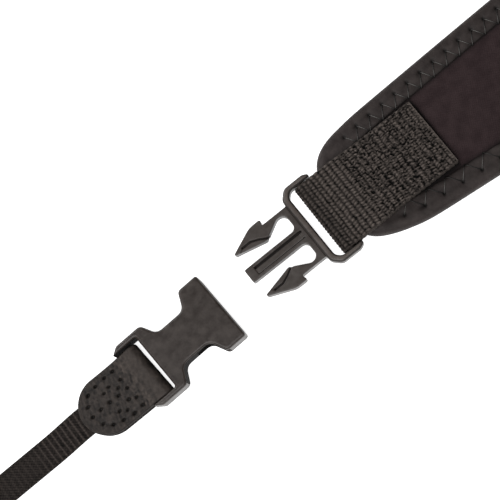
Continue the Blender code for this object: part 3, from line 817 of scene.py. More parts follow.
def webbing_keeper():
    """A plain moulded ring round both strands, its origin at the eye's centre."""
    start, end = KEEPER_DISTANCE, KEEPER_DISTANCE + KEEPER_LENGTH
    outer = prism(rectangle(start, end, -KEEPER_HALF_WIDTH, KEEPER_HALF_WIDTH), 0.0, KEEPER_HEIGHT)
    opening = rectangle(start - CUT_PAST, end + CUT_PAST, -KEEPER_INNER_HALF_WIDTH, KEEPER_INNER_HALF_WIDTH)
    inner = prism(opening, KEEPER_WALL, KEEPER_HEIGHT - KEEPER_WALL)
    ring = moulded(combined(outer, [("DIFFERENCE", inner)]), "keeper")
    return lit(ring, keeper_shade(*points_of(ring).T))


# ---------------------------------------------------------------- buckle

# How much of a side prong's sharp tip the softened edges take away
PRONG_TIP = 0.0003
# Corners of the male half, first its base plate and prongs and then its frame
PRONG_CORNERS = both_sides([
    # x, y, corner radius
    (-CENTRE_PRONG_LENGTH, CENTRE_PRONG_HALF_WIDTH, 0.0005),
    (BASE_PLATE_START, CENTRE_PRONG_HALF_WIDTH, 0.0019),
    (BASE_PLATE_START, ARM_INNER_HALF_SPAN, 0.0022),
    (-0.0034, ARM_INNER_HALF_SPAN, 0.0020),
    (-0.0098, 0.0054, 0.0012),
    (-SIDE_PRONG_LENGTH - PRONG_TIP, 0.0081, 0.0004),
    (-0.0118, BARB_HALF_SPAN, 0.0060),
    (-0.0074, BARB_HALF_SPAN, 0.0004),
    (-0.0081, ARM_HALF_SPAN, 0.0),
    (BASE_PLATE_END, ARM_HALF_SPAN, 0.0),
])
FRAME_CORNERS = both_sides([
    (FRAME_START, FRAME_HALF_WIDTH - FRAME_CORNER, 0.0025),
    (FRAME_START + FRAME_CORNER, FRAME_HALF_WIDTH, 0.0025),
    (FRAME_LENGTH_END - 0.0017, FRAME_HALF_WIDTH, 0.0022),
    (FRAME_LENGTH_END, FRAME_HALF_WIDTH - 0.0009, 0.0007),
    (FRAME_LENGTH_END, FRAME_INNER_HALF_WIDTH, 0.0004),
    (FRAME_BAR_END + FRAME_INNER_CORNER, FRAME_INNER_HALF_WIDTH, 0.0020),
    (FRAME_BAR_END, FRAME_INNER_HALF_WIDTH - FRAME_INNER_CORNER, 0.0020),
])
# Corners of the female half, and of what is open between its two plates
BODY_CORNERS = both_sides([
    (0.0, MOUTH_HALF_WIDTH, 0.0008),
    (-MOUTH_LENGTH, MOUTH_HALF_WIDTH, 0.0016),
    (-WAIST_START, WAIST_HALF_WIDTH, 0.0030),
    (-WAIST_END, WAIST_HALF_WIDTH, 0.0030),
    (-REAR_START, REAR_HALF_WIDTH, 0.0020),
    (-FORK_TAPER_START, REAR_HALF_WIDTH, 0.0016),
    (-FORK_END, FORK_INNER_HALF_WIDTH, 0.0),
    (-REAR_SLOT_EDGE, FORK_INNER_HALF_WIDTH, 0.0004),
])
BEYOND_SIDE = MOUTH_HALF_WIDTH + CUT_PAST
CAVITY_CORNERS = both_sides([
    (CUT_PAST, CAVITY_HALF_WIDTH, 0.0),
    (-SIDE_WALL_LENGTH, CAVITY_HALF_WIDTH, 0.0),
    (-SIDE_WALL_LENGTH, BEYOND_SIDE, 0.0),
    (-WINDOW_END, BEYOND_SIDE, 0.0),
    (-WINDOW_END, GUIDE_OUTER, 0.0),
    (-GUIDE_START, GUIDE_START_OUTER, 0.0),
    (-GUIDE_START, GUIDE_INNER, 0.0),
    (-CHANNEL_ROOM_END, GUIDE_INNER, 0.0),
])
# The dark crease on a side prong's head, from near its tip to its inner corner
CREASE = ((-0.0176, 0.0084), (-0.0140, 0.0084), (-0.0114, 0.0073), (-0.0094, 0.0061), (-0.0080, 0.0058))
CREASE_HALF_WIDTH = 0.00034
CREASE_DEPTH = 0.00110
# The lowered bevel between the crease and the centre prong: its depth, where it ends past the crease's tip
# end, and its inner side's y at its inner and at its tip end
INNER_BEVEL_DEPTH = 0.00028
INNER_BEVEL_PAST = 0.003
INNER_BEVEL_Y = (0.0040, 0.0060)
# What is carved along the centre prong, with its floor, and along the frame's start
CENTRE_GROOVES = (
    # start x, end x, start y, end y, depth
    (-0.0184, -0.0004, -0.00150, 0.00145, 0.00030),
    (-0.0182, 0.0004, 0.00050, 0.00132, 0.00160),
    (-0.0184, 0.0004, -0.00150, -0.00120, 0.00070),
)
FRAME_GROOVE = (0.00134, 0.00165, 0.00034)
# How much lighter the frame's ridge is, between which heights over the prongs, and how much darker its rims
FRAME_LIGHTER = 1.35
RIDGE_FROM = 0.00020
RIDGE_FULL = 0.00038
RIM_DARKER = 0.40
RIM_DEPTH = 0.0005
# Between which depths its carved lines turn dark, and how much darker they are
GROOVE_DARK_FROM = 0.0004
GROOVE_DARK_FULL = 0.0006
GROOVE_DARKER = 0.55
GROOVE_MARGIN = 0.0001
# Steps of the rounded edges of the male half's frame and of the female half
FRAME_TERRACES = (
    # how far in, half height
    (0.0, 0.00155), (0.00022, 0.00190), (0.00045, 0.00215), (0.00070, FRAME_HALF_HEIGHT),
)
BODY_TERRACES = (
    (0.0, 0.00280), (0.00015, 0.00308), (0.00032, 0.00328), (0.00055, BODY_HALF_HEIGHT),
)


def carved(outline, side, depth):
    """The step that carves the outline into the prongs' upper or lower face."""
    heights = (side * (PRONG_HALF_HEIGHT - depth), side * (PRONG_HALF_HEIGHT + CUT_PAST))
    return "DIFFERENCE", prism(outline, min(heights), max(heights))


def carved_heads(side):
    """The steps that lower the side prongs' inner bevels and carve the creases beside them."""
    steps = []
    for y_side in (1, -1):
        line = [(x, y_side * y) for x, y in CREASE]
        ends = (CREASE[-1][0], CREASE[0][0] - INNER_BEVEL_PAST)
        inner = [(x, y_side * y) for x, y in zip(ends, INNER_BEVEL_Y)]
        across = [(x, y + CREASE_HALF_WIDTH) for x, y in line]
        back = [(x, y - CREASE_HALF_WIDTH) for x, y in reversed(line)]
        steps += [carved(line + inner, side, INNER_BEVEL_DEPTH), carved(across + back, side, CREASE_DEPTH)]
    return steps


def male_shade(x, y, z):
    """Share of light at points of the male half: more on its raised frame, less deep in its grooves."""
    over_prongs = np.abs(z) - PRONG_HALF_HEIGHT
    ridge = blend(over_prongs, RIDGE_FROM, RIDGE_FULL)
    on_rim = (x > FRAME_START) & (over_prongs > -RIM_DEPTH) & (over_prongs < RIDGE_FROM)
    in_groove = np.zeros(x.shape, dtype=bool)
    for x0, x1, y0, y1, depth in CENTRE_GROOVES:
        if depth > GROOVE_DARK_FROM:
            in_groove |= (x > x0) & (x < x1) & (y > y0 - GROOVE_MARGIN) & (y < y1 + GROOVE_MARGIN)
    for (x0, y0), (x1, y1) in zip(CREASE, CREASE[1:]):
        line_y = y0 + (y1 - y0) * (x - x0) / (x1 - x0)
        in_groove |= (x >= x0) & (x < x1) & (np.abs(np.abs(y) - line_y) < CREASE_HALF_WIDTH * 1.3)
    deep = in_groove * blend(over_prongs, -GROOVE_DARK_FROM, -GROOVE_DARK_FULL)
    return (1 + FRAME_LIGHTER * ridge) * (1 - RIM_DARKER * on_rim) * (1 - GROOVE_DARKER * deep)


def male_buckle():
    """Base plate, centre prong and two barbed side prongs, on the frame that holds the webbing."""
    prongs = prism(rounded(PRONG_CORNERS), -PRONG_HALF_HEIGHT, PRONG_HALF_HEIGHT)
    frame = terraced(FRAME_CORNERS, FRAME_TERRACES)
    body = moulded(combined(prongs, [("UNION", frame)]), "male_form")
    groove_start, groove_end, groove_depth = FRAME_GROOVE
    grooves = [*CENTRE_GROOVES, (groove_start, groove_end, -ARM_HALF_SPAN, ARM_HALF_SPAN, groove_depth)]
    steps = []
    for side in (1, -1):
        steps += [carved(rectangle(*sides), side, depth) for *sides, depth in grooves]
        steps += carved_heads(side)
    bar_reach = (FRAME_HALF_WIDTH + FRAME_INNER_HALF_WIDTH) / 2
    steps.append(("UNION", cross_bar(MALE_BAR_X, bar_reach, BAR_RADIUS)))
    half = moulded(combined(body, steps), "male_carved")
    return lit(half, male_shade(*points_of(half).T))


# Share of light inside the female half's slot and windows, and on the sides of its waist
HOLLOW_LIGHT = 0.10
# How far below its faces the rounded edges of the female half end
BODY_EDGE_DEPTH = 0.0005


def female_shade(x, y, z):
    """Share of light at points of the female half: less in its slot, its windows and beside its waist."""
    between_faces = np.abs(z) < BODY_HALF_HEIGHT - BODY_EDGE_DEPTH
    in_slot = (x < GAP - REAR_SLOT_EDGE) & (np.abs(y) < FORK_INNER_HALF_WIDTH + GAP)
    at_waist = (x > -REAR_START) & (x < -MOUTH_LENGTH - GAP)
    return np.where(between_faces & (in_slot | at_waist), HOLLOW_LIGHT, 1.0)


def female_buckle():
    """The hollow half: mouth, narrow waist with open sides, and a rear fork with its bar."""
    body = moulded(terraced(BODY_CORNERS, BODY_TERRACES), "female_form")
    cavity = prism(rounded(CAVITY_CORNERS), -CAVITY_HALF_HEIGHT, CAVITY_HALF_HEIGHT)
    bar_reach = (REAR_HALF_WIDTH + FORK_INNER_HALF_WIDTH) / 2
    bar = cross_bar(FEMALE_BAR_X, bar_reach, BAR_RADIUS)
    half = moulded(combined(body, [("DIFFERENCE", cavity), ("UNION", bar)]), "female_carved")
    return lit(half, female_shade(*points_of(half).T))


# ---------------------------------------------------------------- pad


def centreline(distances):
    """x, y and heading of the pad's centreline at distances from its -X tip, with x = 0 at its middle."""
    half = PAD_LENGTH / 2
    s = np.linspace(0, half, 1401)
    full_rate = PAD_END_HEADING / (half - (FULL_BEND + STRAIGHT_END) / 2)
    rate = full_rate * (1 - np.cos(math.pi * blend(s, STRAIGHT_END, FULL_BEND))) / 2

    def between(values):
        return (values[1:] + values[:-1]) / 2

    def summed(values):
        return np.concatenate([[0], np.cumsum(values) * (s[1] - s[0])])

    heading = PAD_END_HEADING - summed(between(rate))
    x, y = summed(np.cos(between(heading))), summed(np.sin(between(heading)))
    x -= x[-1]
    x, y, heading = (np.interp(distances, s, values) for values in (x, y, heading))
    before_tip = np.minimum(distances, 0)
    return x + before_tip * math.cos(PAD_END_HEADING), y + before_tip * math.sin(PAD_END_HEADING), heading


def from_tips(s):
    """Distance from the pad's nearer tip."""
    return np.minimum(s, PAD_LENGTH - s)


def half_width(s, side=1):
    """Width of the pad on one side of its centreline, at distances along it."""
    s = from_tips(s)
    share = blend(s, PAD_TAPER_START, PAD_LENGTH / 2)
    full = PAD_END_HALF_WIDTH + (PAD_MID_HALF_WIDTH - PAD_END_HALF_WIDTH) * np.sin(share * math.pi / 2)
    nose = blend(s, NOSE_LENGTH, -NOSE_REACH)
    less = LOWER_LESS * bell(s - LOWER_LESS_AT, LOWER_LESS_REACH) if side < 0 else 0.0
    return np.maximum(full * (1 - nose**NOSE_POWER) ** (1 / NOSE_POWER) - less, 0.0)


def on_pad(s, lateral, z):
    """Points over the pad from distance along it, distance beside its centreline and height."""
    x, y, heading = centreline(from_tips(s))
    x = x - lateral * np.sin(heading)
    y = y + lateral * np.cos(heading)
    return np.stack([np.where(s > PAD_LENGTH / 2, -x, x), y, np.broadcast_to(z, x.shape)], axis=-1)


def half_edge(step, side):
    """s and half width at even distances along one side of the pad, from its -X tip to its middle."""
    turns = np.linspace(0, math.pi / 2, 200)
    nose = (NOSE_LENGTH + NOSE_REACH) * (1 - np.cos(turns) ** (2 / NOSE_POWER)) - NOSE_REACH
    s = np.concatenate([nose, np.linspace(NOSE_LENGTH, PAD_LENGTH / 2, 600)[1:]])
    path = np.column_stack([s, half_width(s, side)])
    points, _ = even_path(path, step)
    return points


def side_edge(step, stops=None, side=1):
    """s, half width and the direction inwards, along one whole side of the pad.

    The places along it are even, or even round its two tips and at the given stops between them.
    """
    first = half_edge(step, side)
    last = first[-2::-1] * (-1, 1) + (PAD_LENGTH, 0)
    if stops is None:
        edge = np.concatenate([first, last])
    else:
        before = first[first[:, 0] < stops[0] - step / 2]
        after = last[last[:, 0] > stops[-1] + step / 2]
        edge = np.concatenate([before, np.column_stack([stops, half_width(stops, side)]), after])
    along = unit(np.gradient(edge, axis=0))
    along[0], along[-1] = (0, 1), (0, -1)
    inwards = np.column_stack([along[:, 1], -along[:, 0]])
    return edge, inwards


PAD_EDGE_STEP = 0.00090
# The binding's section: distance inwards and height over the mid plane, for both faces
BINDING_SECTION = (
    (0.0000, 0.0000), (0.0001, 0.0008), (0.00035, 0.0016), (0.0008, 0.0022), (0.0014, 0.0026),
    (0.0022, 0.00285), (0.0030, 0.0029), (0.0036, 0.00285), (0.0040, 0.00282), (0.0046, 0.0028),
    (0.0052, 0.0028), (0.0058, 0.0028), (0.0064, 0.0028), (0.0070, 0.0028), (0.0075, 0.0028),
    (0.0079, 0.00272), (0.0082, 0.0025), (0.0082, 0.0016),
)
# Its inside: where its inner edge turns back, half the room in it, and where it starts to be in shade
BINDING_LIP = BINDING_WIDTH - 0.0002
BINDING_INNER_HALF = 0.0012
BINDING_SHADED_FROM = 0.0079
BINDING_INNER_LIGHT = 0.35
# How far in from the pad's edge the zigzag stitches' outer and inner holes lie
STITCH_OUTER = 0.0040
STITCH_INNER = 0.0085
UPPER_PITCH = 0.005226
LOWER_PITCH = 0.006885
UPPER_START = 0.03980
LOWER_START = 0.04137
STITCHES_FROM = 0.0126
STITCHES_BLEND = 0.001
# How far from a stitch hole or a thread the binding is drawn in, and how deep
HOLE_RADIUS = 0.00062
OUTER_PULL = 0.0014
INNER_PULL = 0.0016
THREAD_DENT = 0.0005
HOLE_DIP = 0.00036
PULL_DIP = 0.00020
THREAD_DIP = 0.00008
# The puckers along its inner edge, and the size of its soft unevenness
PUCKER_REACH = 0.0012
PUCKER_DIP = 0.00010
CLOUD_CELL = (0.0022, 0.0013)
# Where rows of the binding's points lie beside a stitch hole, by whether it is an outer one
HOLE_ROWS = {
    True: (-0.00105, -0.00060, -0.00030, 0.0, 0.00030, 0.00060, 0.00105),
    False: (-0.00050, 0.00050),
}


def zigzag(side):
    """Pitch and start of a side's zigzag stitches, as distances along the pad."""
    return (UPPER_PITCH, UPPER_START) if side > 0 else (LOWER_PITCH, LOWER_START)


def stitch_places(side):
    """Distances along the pad of a side's stitch holes, outer and inner in turn, and which are outer."""
    pitch, start = zigzag(side)
    first = math.ceil((STITCHES_FROM - start) / pitch * 2)
    last = math.floor((PAD_LENGTH - STITCHES_FROM - start) / pitch * 2)
    counts = np.arange(first, last + 1)
    return start + counts * pitch / 2, counts % 2 == 0


def stitch_dip(s, inset_by, side):
    """How deep the zigzag stitches pull the binding in, and its share of light."""
    pitch, start = zigzag(side)
    place = (s - start) / pitch
    outer = np.abs(place - np.round(place))
    line = STITCH_OUTER + (STITCH_INNER - STITCH_OUTER) * 2 * outer
    slope = 2 * (STITCH_INNER - STITCH_OUTER) / pitch
    off_line = np.abs(inset_by - line) / math.hypot(1, slope)
    outer_hole = np.hypot(outer * pitch, inset_by - STITCH_OUTER)
    inner_hole = np.hypot((0.5 - outer) * pitch, inset_by - STITCH_INNER)
    sewn = blend(from_tips(s), STITCHES_FROM - STITCHES_BLEND, STITCHES_FROM)
    holes = sewn * bell(outer_hole, HOLE_RADIUS, 3)
    pulled = bell(outer_hole, OUTER_PULL) + 0.6 * bell(inner_hole, INNER_PULL)
    cloud = smooth_noise(s, inset_by + 7 * side * CLOUD_CELL[1], CLOUD_CELL, 31)
    dip = sewn * (THREAD_DIP * bell(off_line, THREAD_DENT) + PULL_DIP * pulled) + HOLE_DIP * holes
    at_seam = blend(inset_by, BINDING_WIDTH - PUCKER_REACH, BINDING_WIDTH)
    pucker = at_seam * (1 + 0.5 * np.cos(2 * math.pi * (place - 0.5)))
    light = (1 - 0.95 * holes) * (1 - 0.15 * sewn * np.clip(pulled, 0, 1)) * (1 + 0.20 * cloud)
    return dip + PUCKER_DIP * pucker, light * (1 - 0.45 * np.clip(pucker, 0, 1))


def pad_binding():
    """The border band: a folded wall round the whole edge, pulled in by its stitches."""
    middle = PAD_THICKNESS / 2
    section = np.array(BINDING_SECTION)
    top = [(d, middle + h) for d, h in section]
    inner_rows = ((BINDING_LIP, 1), (BINDING_WALL, 1), (BINDING_WALL, -1), (BINDING_LIP, -1))
    inner = [(d, middle + side * BINDING_INNER_HALF) for d, side in inner_rows]
    bottom = [(d, middle - h) for d, h in (section[-1], *section[-2:0:-2])]
    loop = np.array(top + inner + bottom)
    faces_top = np.array([1] * len(top) + [0] * len(inner) + [-1] * len(bottom))
    sides = []
    for side in (-1, 1):
        stops = [hole + row for hole, outer in zip(*stitch_places(side)) for row in HOLE_ROWS[bool(outer)]]
        edge, inwards = side_edge(PAD_EDGE_STEP, np.array(stops), side)
        steps = np.linalg.norm(np.diff(edge, axis=0, prepend=edge[:1]), axis=1)
        s = edge[:, :1] + inwards[:, :1] * loop[None, :, 0]
        width = edge[:, 1:] + inwards[:, 1:] * loop[None, :, 0]
        dip, shade = stitch_dip(s, loop[None, :, 0] + 0 * s, side)
        hidden = (loop[None, :, 0] > BINDING_SHADED_FROM) | (faces_top[None, :] == 0)
        shade = np.where(hidden, BINDING_INNER_LIGHT, shade)
        z = np.maximum(loop[None, :, 1] - faces_top[None, :] * dip, 0.0)
        points = on_pad(s, side * np.maximum(width, 0), z)
        uv = np.stack([np.cumsum(steps)[:, None] + 0 * s, loop[None, :, 0] + 0 * s], axis=2)
        if side > 0:
            points, uv, shade = points[::-1], uv[::-1], shade[::-1]
        sides.append((points[:-1], uv[:-1], shade[:-1]))
    points, uv, shade = (np.concatenate([row[k] for row in sides]) for k in range(3))
    faces = grid_faces(points.shape[0], points.shape[1], closed_rows=True, closed_columns=True)
    return outward(built("binding", points, faces, uv, shade))


PANEL_EDGE = 0.0076
PANEL_EDGE_STEP = 0.001
PANEL_ROWS = 140
PANEL_COLUMNS = 25
# Rows of the panel's points round the webbing's cut end
PANEL_DENSE = np.linspace(0.0340, 0.0400, 16)
PANEL_END_GAP = 0.0004
# How deep the binding's seam draws its edge in, and how far in that reaches
PANEL_SEAM_DEPTH = 0.0007
PANEL_SEAM_REACH = 0.0022
# How much it swells, how far from its seams, and between which places from the pad's tip
PANEL_RISE = 0.0007
PANEL_RISE_REACH = 0.014
PANEL_RISE_START = 0.036
PANEL_RISE_FULL = 0.048
# Where the panel stays flat under the webbing, from the strap's middle, and how much it may rise there
PANEL_FLAT_FROM = 0.228
PANEL_FLAT_RISE = 0.0001
# How far the painted shadow beside the webbing's cut end and the painted shade in the seam along the binding
# reach
WEBBING_SHADOW = 0.0010
SEAM_SHADOW = 0.0006
SIM_FRAMES = 20
SIM_PRESSURE = 4.0
# The furthest that the simulation may move a point
SIM_MOST = 0.0011


def panel_edge():
    """s and half width of the panel's edge, which the binding covers, from the -X tip to the middle."""
    edge, inwards = side_edge(PANEL_EDGE_STEP)
    inner = edge + inwards * PANEL_EDGE
    return inner[: len(inner) // 2 + 1]


def pad_panel():
    """Foam panel: a closed form, sewn down at its edge, pressed flat on the floor."""
    inner = panel_edge()
    first = inner[0, 0] + PANEL_END_GAP
    share = np.linspace(0, 1, PANEL_ROWS // 2)
    near = first + (PAD_LENGTH / 2 - first) * (share + 1.1 * share**2) / 2.1
    near = near[(near < PANEL_DENSE[0]) | (near > PANEL_DENSE[-1])]
    near = np.sort(np.concatenate([near, PANEL_DENSE]))
    s = np.concatenate([near, PAD_LENGTH - near[-2::-1]])
    order = np.argsort(inner[:, 0])
    width = np.interp(from_tips(s), inner[order, 0], inner[order, 1])
    across = np.sin(np.linspace(-1, 1, PANEL_COLUMNS) * math.pi / 2)
    lateral = width[:, None] * across[None, :]
    s_grid = s[:, None] + 0 * lateral
    from_edge = np.minimum(width[:, None] - np.abs(lateral), from_tips(s_grid) - first)
    rise = PANEL_RISE * np.sin(blend(from_edge, 0, PANEL_RISE_REACH) * math.pi / 2)
    rise = rise * blend(from_tips(s_grid), PANEL_RISE_START, PANEL_RISE_FULL)
    seam = PANEL_SEAM_DEPTH * blend(from_edge, PANEL_SEAM_REACH, 0) ** 2
    top = on_pad(s_grid, lateral, PAD_THICKNESS - seam + rise)
    bottom = on_pad(s_grid, lateral, seam)
    points = np.concatenate([top, bottom[:, -2:0:-1]], axis=1)
    uv_top = np.stack([s_grid, lateral], axis=2)
    uv = np.concatenate([uv_top, uv_top[:, -2:0:-1]], axis=1)
    on_top = np.arange(points.shape[1]) < PANEL_COLUMNS
    return outward(swept("panel", points, uv, panel_shade(uv, on_top[None, :])))


def panel_shade(uv, on_top):
    """Darker: painted shade in the seam along the binding, and a painted shadow beside the webbing's cut end,
    which stands on the panel.
    """
    s, lateral = uv[..., 0], np.abs(uv[..., 1])
    past_webbing = from_tips(s) - NOSE_OVERHANG - WEBBING_SEWN_END
    from_webbing = np.maximum(past_webbing, lateral - WEBBING_WIDTH / 2)
    # Painted shadow of the webbing's cut end, on the upper face only
    beside = on_top * bell(np.maximum(from_webbing, 0), WEBBING_SHADOW, 4)
    seam = bell(np.maximum(half_width(s) - lateral - BINDING_WIDTH, 0), SEAM_SHADOW)
    return 1 - 0.92 * np.maximum(beside, 0.8 * seam)


# ---------------------------------------------------------------- threads

THREAD_SIDES = 5
THREAD_RADIUS = 0.00013
# Painted light along a stitch: more on its way in from an outer hole, less on its way back
INWARD_STITCH_LIGHT = (0.15, 1.20, 1.55, 1.35, 0.60, 0.22, 0.10)
RETURN_STITCH_LIGHT = (0.15, 1.15, 1.20, 0.60, 0.25, 0.15, 0.10)
# How much less painted light the -Y side's stitches get on their way back
LOWER_RETURN_LIGHT = 0.4
# Heights of the stitches' holes on both faces, and how far a stitch sinks into them and stands up between
STITCH_TOP = PAD_THICKNESS - 0.00002
STITCH_BOTTOM = 0.00018
STITCH_SINK = 0.0003
STITCH_LIFT = 0.00008
THREAD_LOWEST = THREAD_RADIUS + 0.00003


def thread_tubes(name, strokes, radius):
    """One mesh of thin tubes, one for each stroke's row of points and its shares of light."""
    points, faces, lights, start = [], [], [], 0
    turns = np.linspace(0, 2 * math.pi, THREAD_SIDES, endpoint=False)
    for stroke, light in strokes:
        lights.append(np.repeat(light, THREAD_SIDES))
        along = unit(np.gradient(stroke, axis=0))
        across = unit(np.cross(along, (0, 0, 1.0)))
        up = np.cross(across, along)
        ring = np.cos(turns)[None, :, None] * across[:, None] + np.sin(turns)[None, :, None] * up[:, None]
        rings = stroke[:, None] + radius * ring
        rows = len(stroke)
        tube = grid_faces(rows, THREAD_SIDES, closed_columns=True) + start
        faces += tube.tolist()
        faces.append([start + k for k in range(THREAD_SIDES)][::-1])
        faces.append([start + (rows - 1) * THREAD_SIDES + k for k in range(THREAD_SIDES)])
        points.append(rings.reshape(-1, 3))
        start += rows * THREAD_SIDES
    return outward(built(name, np.concatenate(points), faces, shade=np.concatenate(lights)))


def arched(a, b, sink, lift):
    """Points of a stitch from hole to hole: it comes up out of one and goes down into the other."""
    shares = np.linspace(0, 1, len(INWARD_STITCH_LIGHT))
    height = -sink + (sink + lift) * np.sin(math.pi * shares) ** 0.6
    stitch = a + (b - a) * shares[:, None]
    stitch[:, 2] += height
    return stitch


def binding_stitches():
    """Zigzag stitches on both faces of the binding."""
    strokes = []
    for side in (1, -1):
        places, outer = stitch_places(side)
        inset_by = np.where(outer, STITCH_OUTER, STITCH_INNER)
        width = side * (half_width(places, side) - inset_by)
        for face, z in ((1, STITCH_TOP), (-1, STITCH_BOTTOM)):
            holes = on_pad(places, width, z)
            for a, b, from_outer in zip(holes, holes[1:], outer):
                stitch = arched(a, b, STITCH_SINK * face, STITCH_LIFT * face)
                stitch[:, 2] = np.maximum(stitch[:, 2], THREAD_LOWEST)
                # Painted light: a stitch from an outer hole is lit more than one going back to it
                return_light = np.array(RETURN_STITCH_LIGHT) * (1.0 if side > 0 else LOWER_RETURN_LIGHT)
                strokes.append((stitch, np.array(INWARD_STITCH_LIGHT) if from_outer else return_light))
    return thread_tubes("stitches", strokes, THREAD_RADIUS)


# ---------------------------------------------------------------- finishes

# Darkest and lightest colour of each material before its mesh's share of light
PLASTIC_TONES = (0.0200, 0.0134, 0.0105), (0.0425, 0.0322, 0.0272)
# Painted light: the male half's tones are the same plastic made lighter
MALE_PLASTIC_LIT_TONES = (0.040, 0.0315, 0.027), (0.062, 0.052, 0.0465)
LEATHER_TONES = (0.0275, 0.0212, 0.0180), (0.0395, 0.0315, 0.0272)
WEBBING_TONES = (0.056, 0.0450, 0.0390), (0.118, 0.0985, 0.0880)
LUG_TONES = (0.0275, 0.0215, 0.0185), (0.057, 0.0468, 0.0418)
PANEL_TONES = (0.0235, 0.0135, 0.0145), (0.0365, 0.0225, 0.0235)
BINDING_TONES = (0.0270, 0.0212, 0.0200), (0.0465, 0.0375, 0.0352)
THREAD_TONES = (0.070, 0.0665, 0.0630), (0.10, 0.095, 0.090)
PANEL_WEAVE = 0.00078


class Shader:
    """A material and its nodes, with short calls to add and link them."""

    def __init__(self, name):
        self.material = bpy.data.materials.new(name)
        self.material.use_nodes = True
        self.nodes = self.material.node_tree.nodes
        self.links = self.material.node_tree.links
        self.surface = self.nodes["Principled BSDF"]

    def add(self, kind, settings=None, **inputs):
        node = self.nodes.new(kind)
        for key, value in (settings or {}).items():
            setattr(node, key, value)
        for key, value in inputs.items():
            self.feed(node, key.replace("_", " "), value)
        return node

    def feed(self, node, key, value):
        socket = node.inputs[key]
        if isinstance(value, bpy.types.NodeSocket):
            self.links.new(value, socket)
        else:
            socket.default_value = value

    def on_object(self):
        return self.add("ShaderNodeTexCoord").outputs["Object"]

    def on_cloth(self):
        return self.add("ShaderNodeUVMap", {"uv_map": "cloth"}).outputs["UV"]

    def share_of_light(self):
        return self.add("ShaderNodeAttribute", {"attribute_name": "shade"}).outputs["Fac"]

    def math(self, operation, *values, clamped=False):
        node = self.add("ShaderNodeMath", {"operation": operation, "use_clamp": clamped})
        for i, value in enumerate(values):
            self.feed(node, i, value)
        return node.outputs[0]

    def noise(self, place, scale, detail=3.0, roughness=0.55):
        inputs = {"Vector": place, "Scale": scale, "Detail": detail, "Roughness": roughness}
        return self.add("ShaderNodeTexNoise", **inputs).outputs["Fac"]

    def ramp(self, factor, start, tones):
        """From the first tone at start to the second as far on the other side of a half."""
        node = self.add("ShaderNodeValToRGB", Fac=factor)
        for element, position, tone in zip(node.color_ramp.elements, (start, 1 - start), tones):
            element.position = position
            element.color = (*tone, 1.0)
        return node.outputs["Color"]

    def bump(self, height, distance, strength, **inputs):
        node = self.add("ShaderNodeBump", Height=height, Distance=distance, Strength=strength, **inputs)
        return node.outputs["Normal"]

    def finish(self, colour, roughness, normal, specular):
        """The material, its colour scaled by the share of light that the mesh carries."""
        scaled = self.add("ShaderNodeVectorMath", {"operation": "SCALE"}, Scale=self.share_of_light())
        self.feed(scaled, 0, colour)
        self.look(Base_Color=scaled.outputs[0], Roughness=roughness, Normal=normal)
        return self.look(Specular_IOR_Level=specular)

    def look(self, **inputs):
        """The material, once its surface has these inputs."""
        for key, value in inputs.items():
            self.feed(self.surface, key.replace("_", " "), value)
        return self.material


def plastic_finish(name, tones):
    """Dark warm grey moulded plastic, mottled, and dull where its mesh's share of light is small."""
    shader = Shader(name)
    mottle = shader.noise(shader.on_object(), 330.0, 6.0, 0.65)
    grain = shader.noise(shader.on_object(), 3200.0, 2.0)
    dull = shader.math("SUBTRACT", 1.0, shader.share_of_light(), clamped=True)
    roughness = shader.math("ADD", shader.math("MULTIPLY_ADD", mottle, 0.30, 0.22), dull, clamped=True)
    bump = shader.bump(shader.math("MULTIPLY_ADD", mottle, 2.0, grain), 0.00003, 0.5)
    return shader.finish(shader.ramp(mottle, 0.35, tones), roughness, bump, 0.45)


def leather_finish(name, tones, cloud_scale, cell_scale, bumps, roughness, specular):
    """Dark leather or leatherette, mottled, with a fine pebbled grain.

    bumps are rows of distance and strength, first the clouds' and then the grain's.
    """
    shader = Shader(name)
    cells = shader.add("ShaderNodeTexVoronoi", Vector=shader.on_object(), Scale=cell_scale)
    cloud = shader.noise(shader.on_object(), cloud_scale, 4.0)
    soft_bump, cell_bump = bumps
    bump = shader.bump(cells.outputs["Distance"], *cell_bump, Normal=shader.bump(cloud, *soft_bump))
    return shader.finish(shader.ramp(cloud, 0.3, tones), roughness, bump, specular)


def webbing_finish(name, tones, yarn_scale):
    """Woven yarn, with fine twisted fibres all over."""
    shader = Shader(name)
    yarns = shader.noise(shader.on_cloth(), yarn_scale, 3.0, 0.7)
    return shader.finish(shader.ramp(yarns, 0.3, tones), 0.75, shader.bump(yarns, 0.00020, 0.6), 0.10)


def panel_finish():
    """Dark brown-grey fine mesh fabric."""
    shader = Shader("pad_fabric")
    place = shader.on_cloth()
    ways = shader.add("ShaderNodeSeparateXYZ", Vector=place).outputs
    turns = (shader.math("MULTIPLY", ways[axis], 2 * math.pi / PANEL_WEAVE) for axis in "XY")
    weave = shader.math("MULTIPLY", *(shader.math("SINE", turn) for turn in turns))
    cloud = shader.math("MULTIPLY_ADD", weave, 0.12, shader.noise(place, 260.0, 4.0))
    height = shader.math("MULTIPLY_ADD", weave, 0.5, shader.noise(place, 2600.0, 3.0, 0.7))
    bump = shader.bump(height, 0.00015, 0.5)
    return shader.finish(shader.ramp(cloud, 0.35, PANEL_TONES), 0.85, bump, 0.2)


def thread_finish():
    """Twisted sewing thread."""
    shader = Shader("binding_thread")
    twist = shader.noise(shader.on_object(), 4000.0, 2.0)
    return shader.finish(shader.ramp(twist, 0.3, THREAD_TONES), 0.6, shader.bump(twist, 0.00005, 0.5), 0.3)


# ---------------------------------------------------------------- placing


def strap_shift():
    """How far the strap lies from where the pad's own values put it."""
    low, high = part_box("pad_binding")
    middle_y = float(centreline(np.array(PAD_LENGTH / 2))[1])
    return ((low.x + high.x) / 2, high.y - middle_y - PAD_MID_HALF_WIDTH, 0)


def turned(x, y, z, yaw):
    return Matrix.Translation((x, y, z)) @ Matrix.Rotation(yaw, 4, "Z")


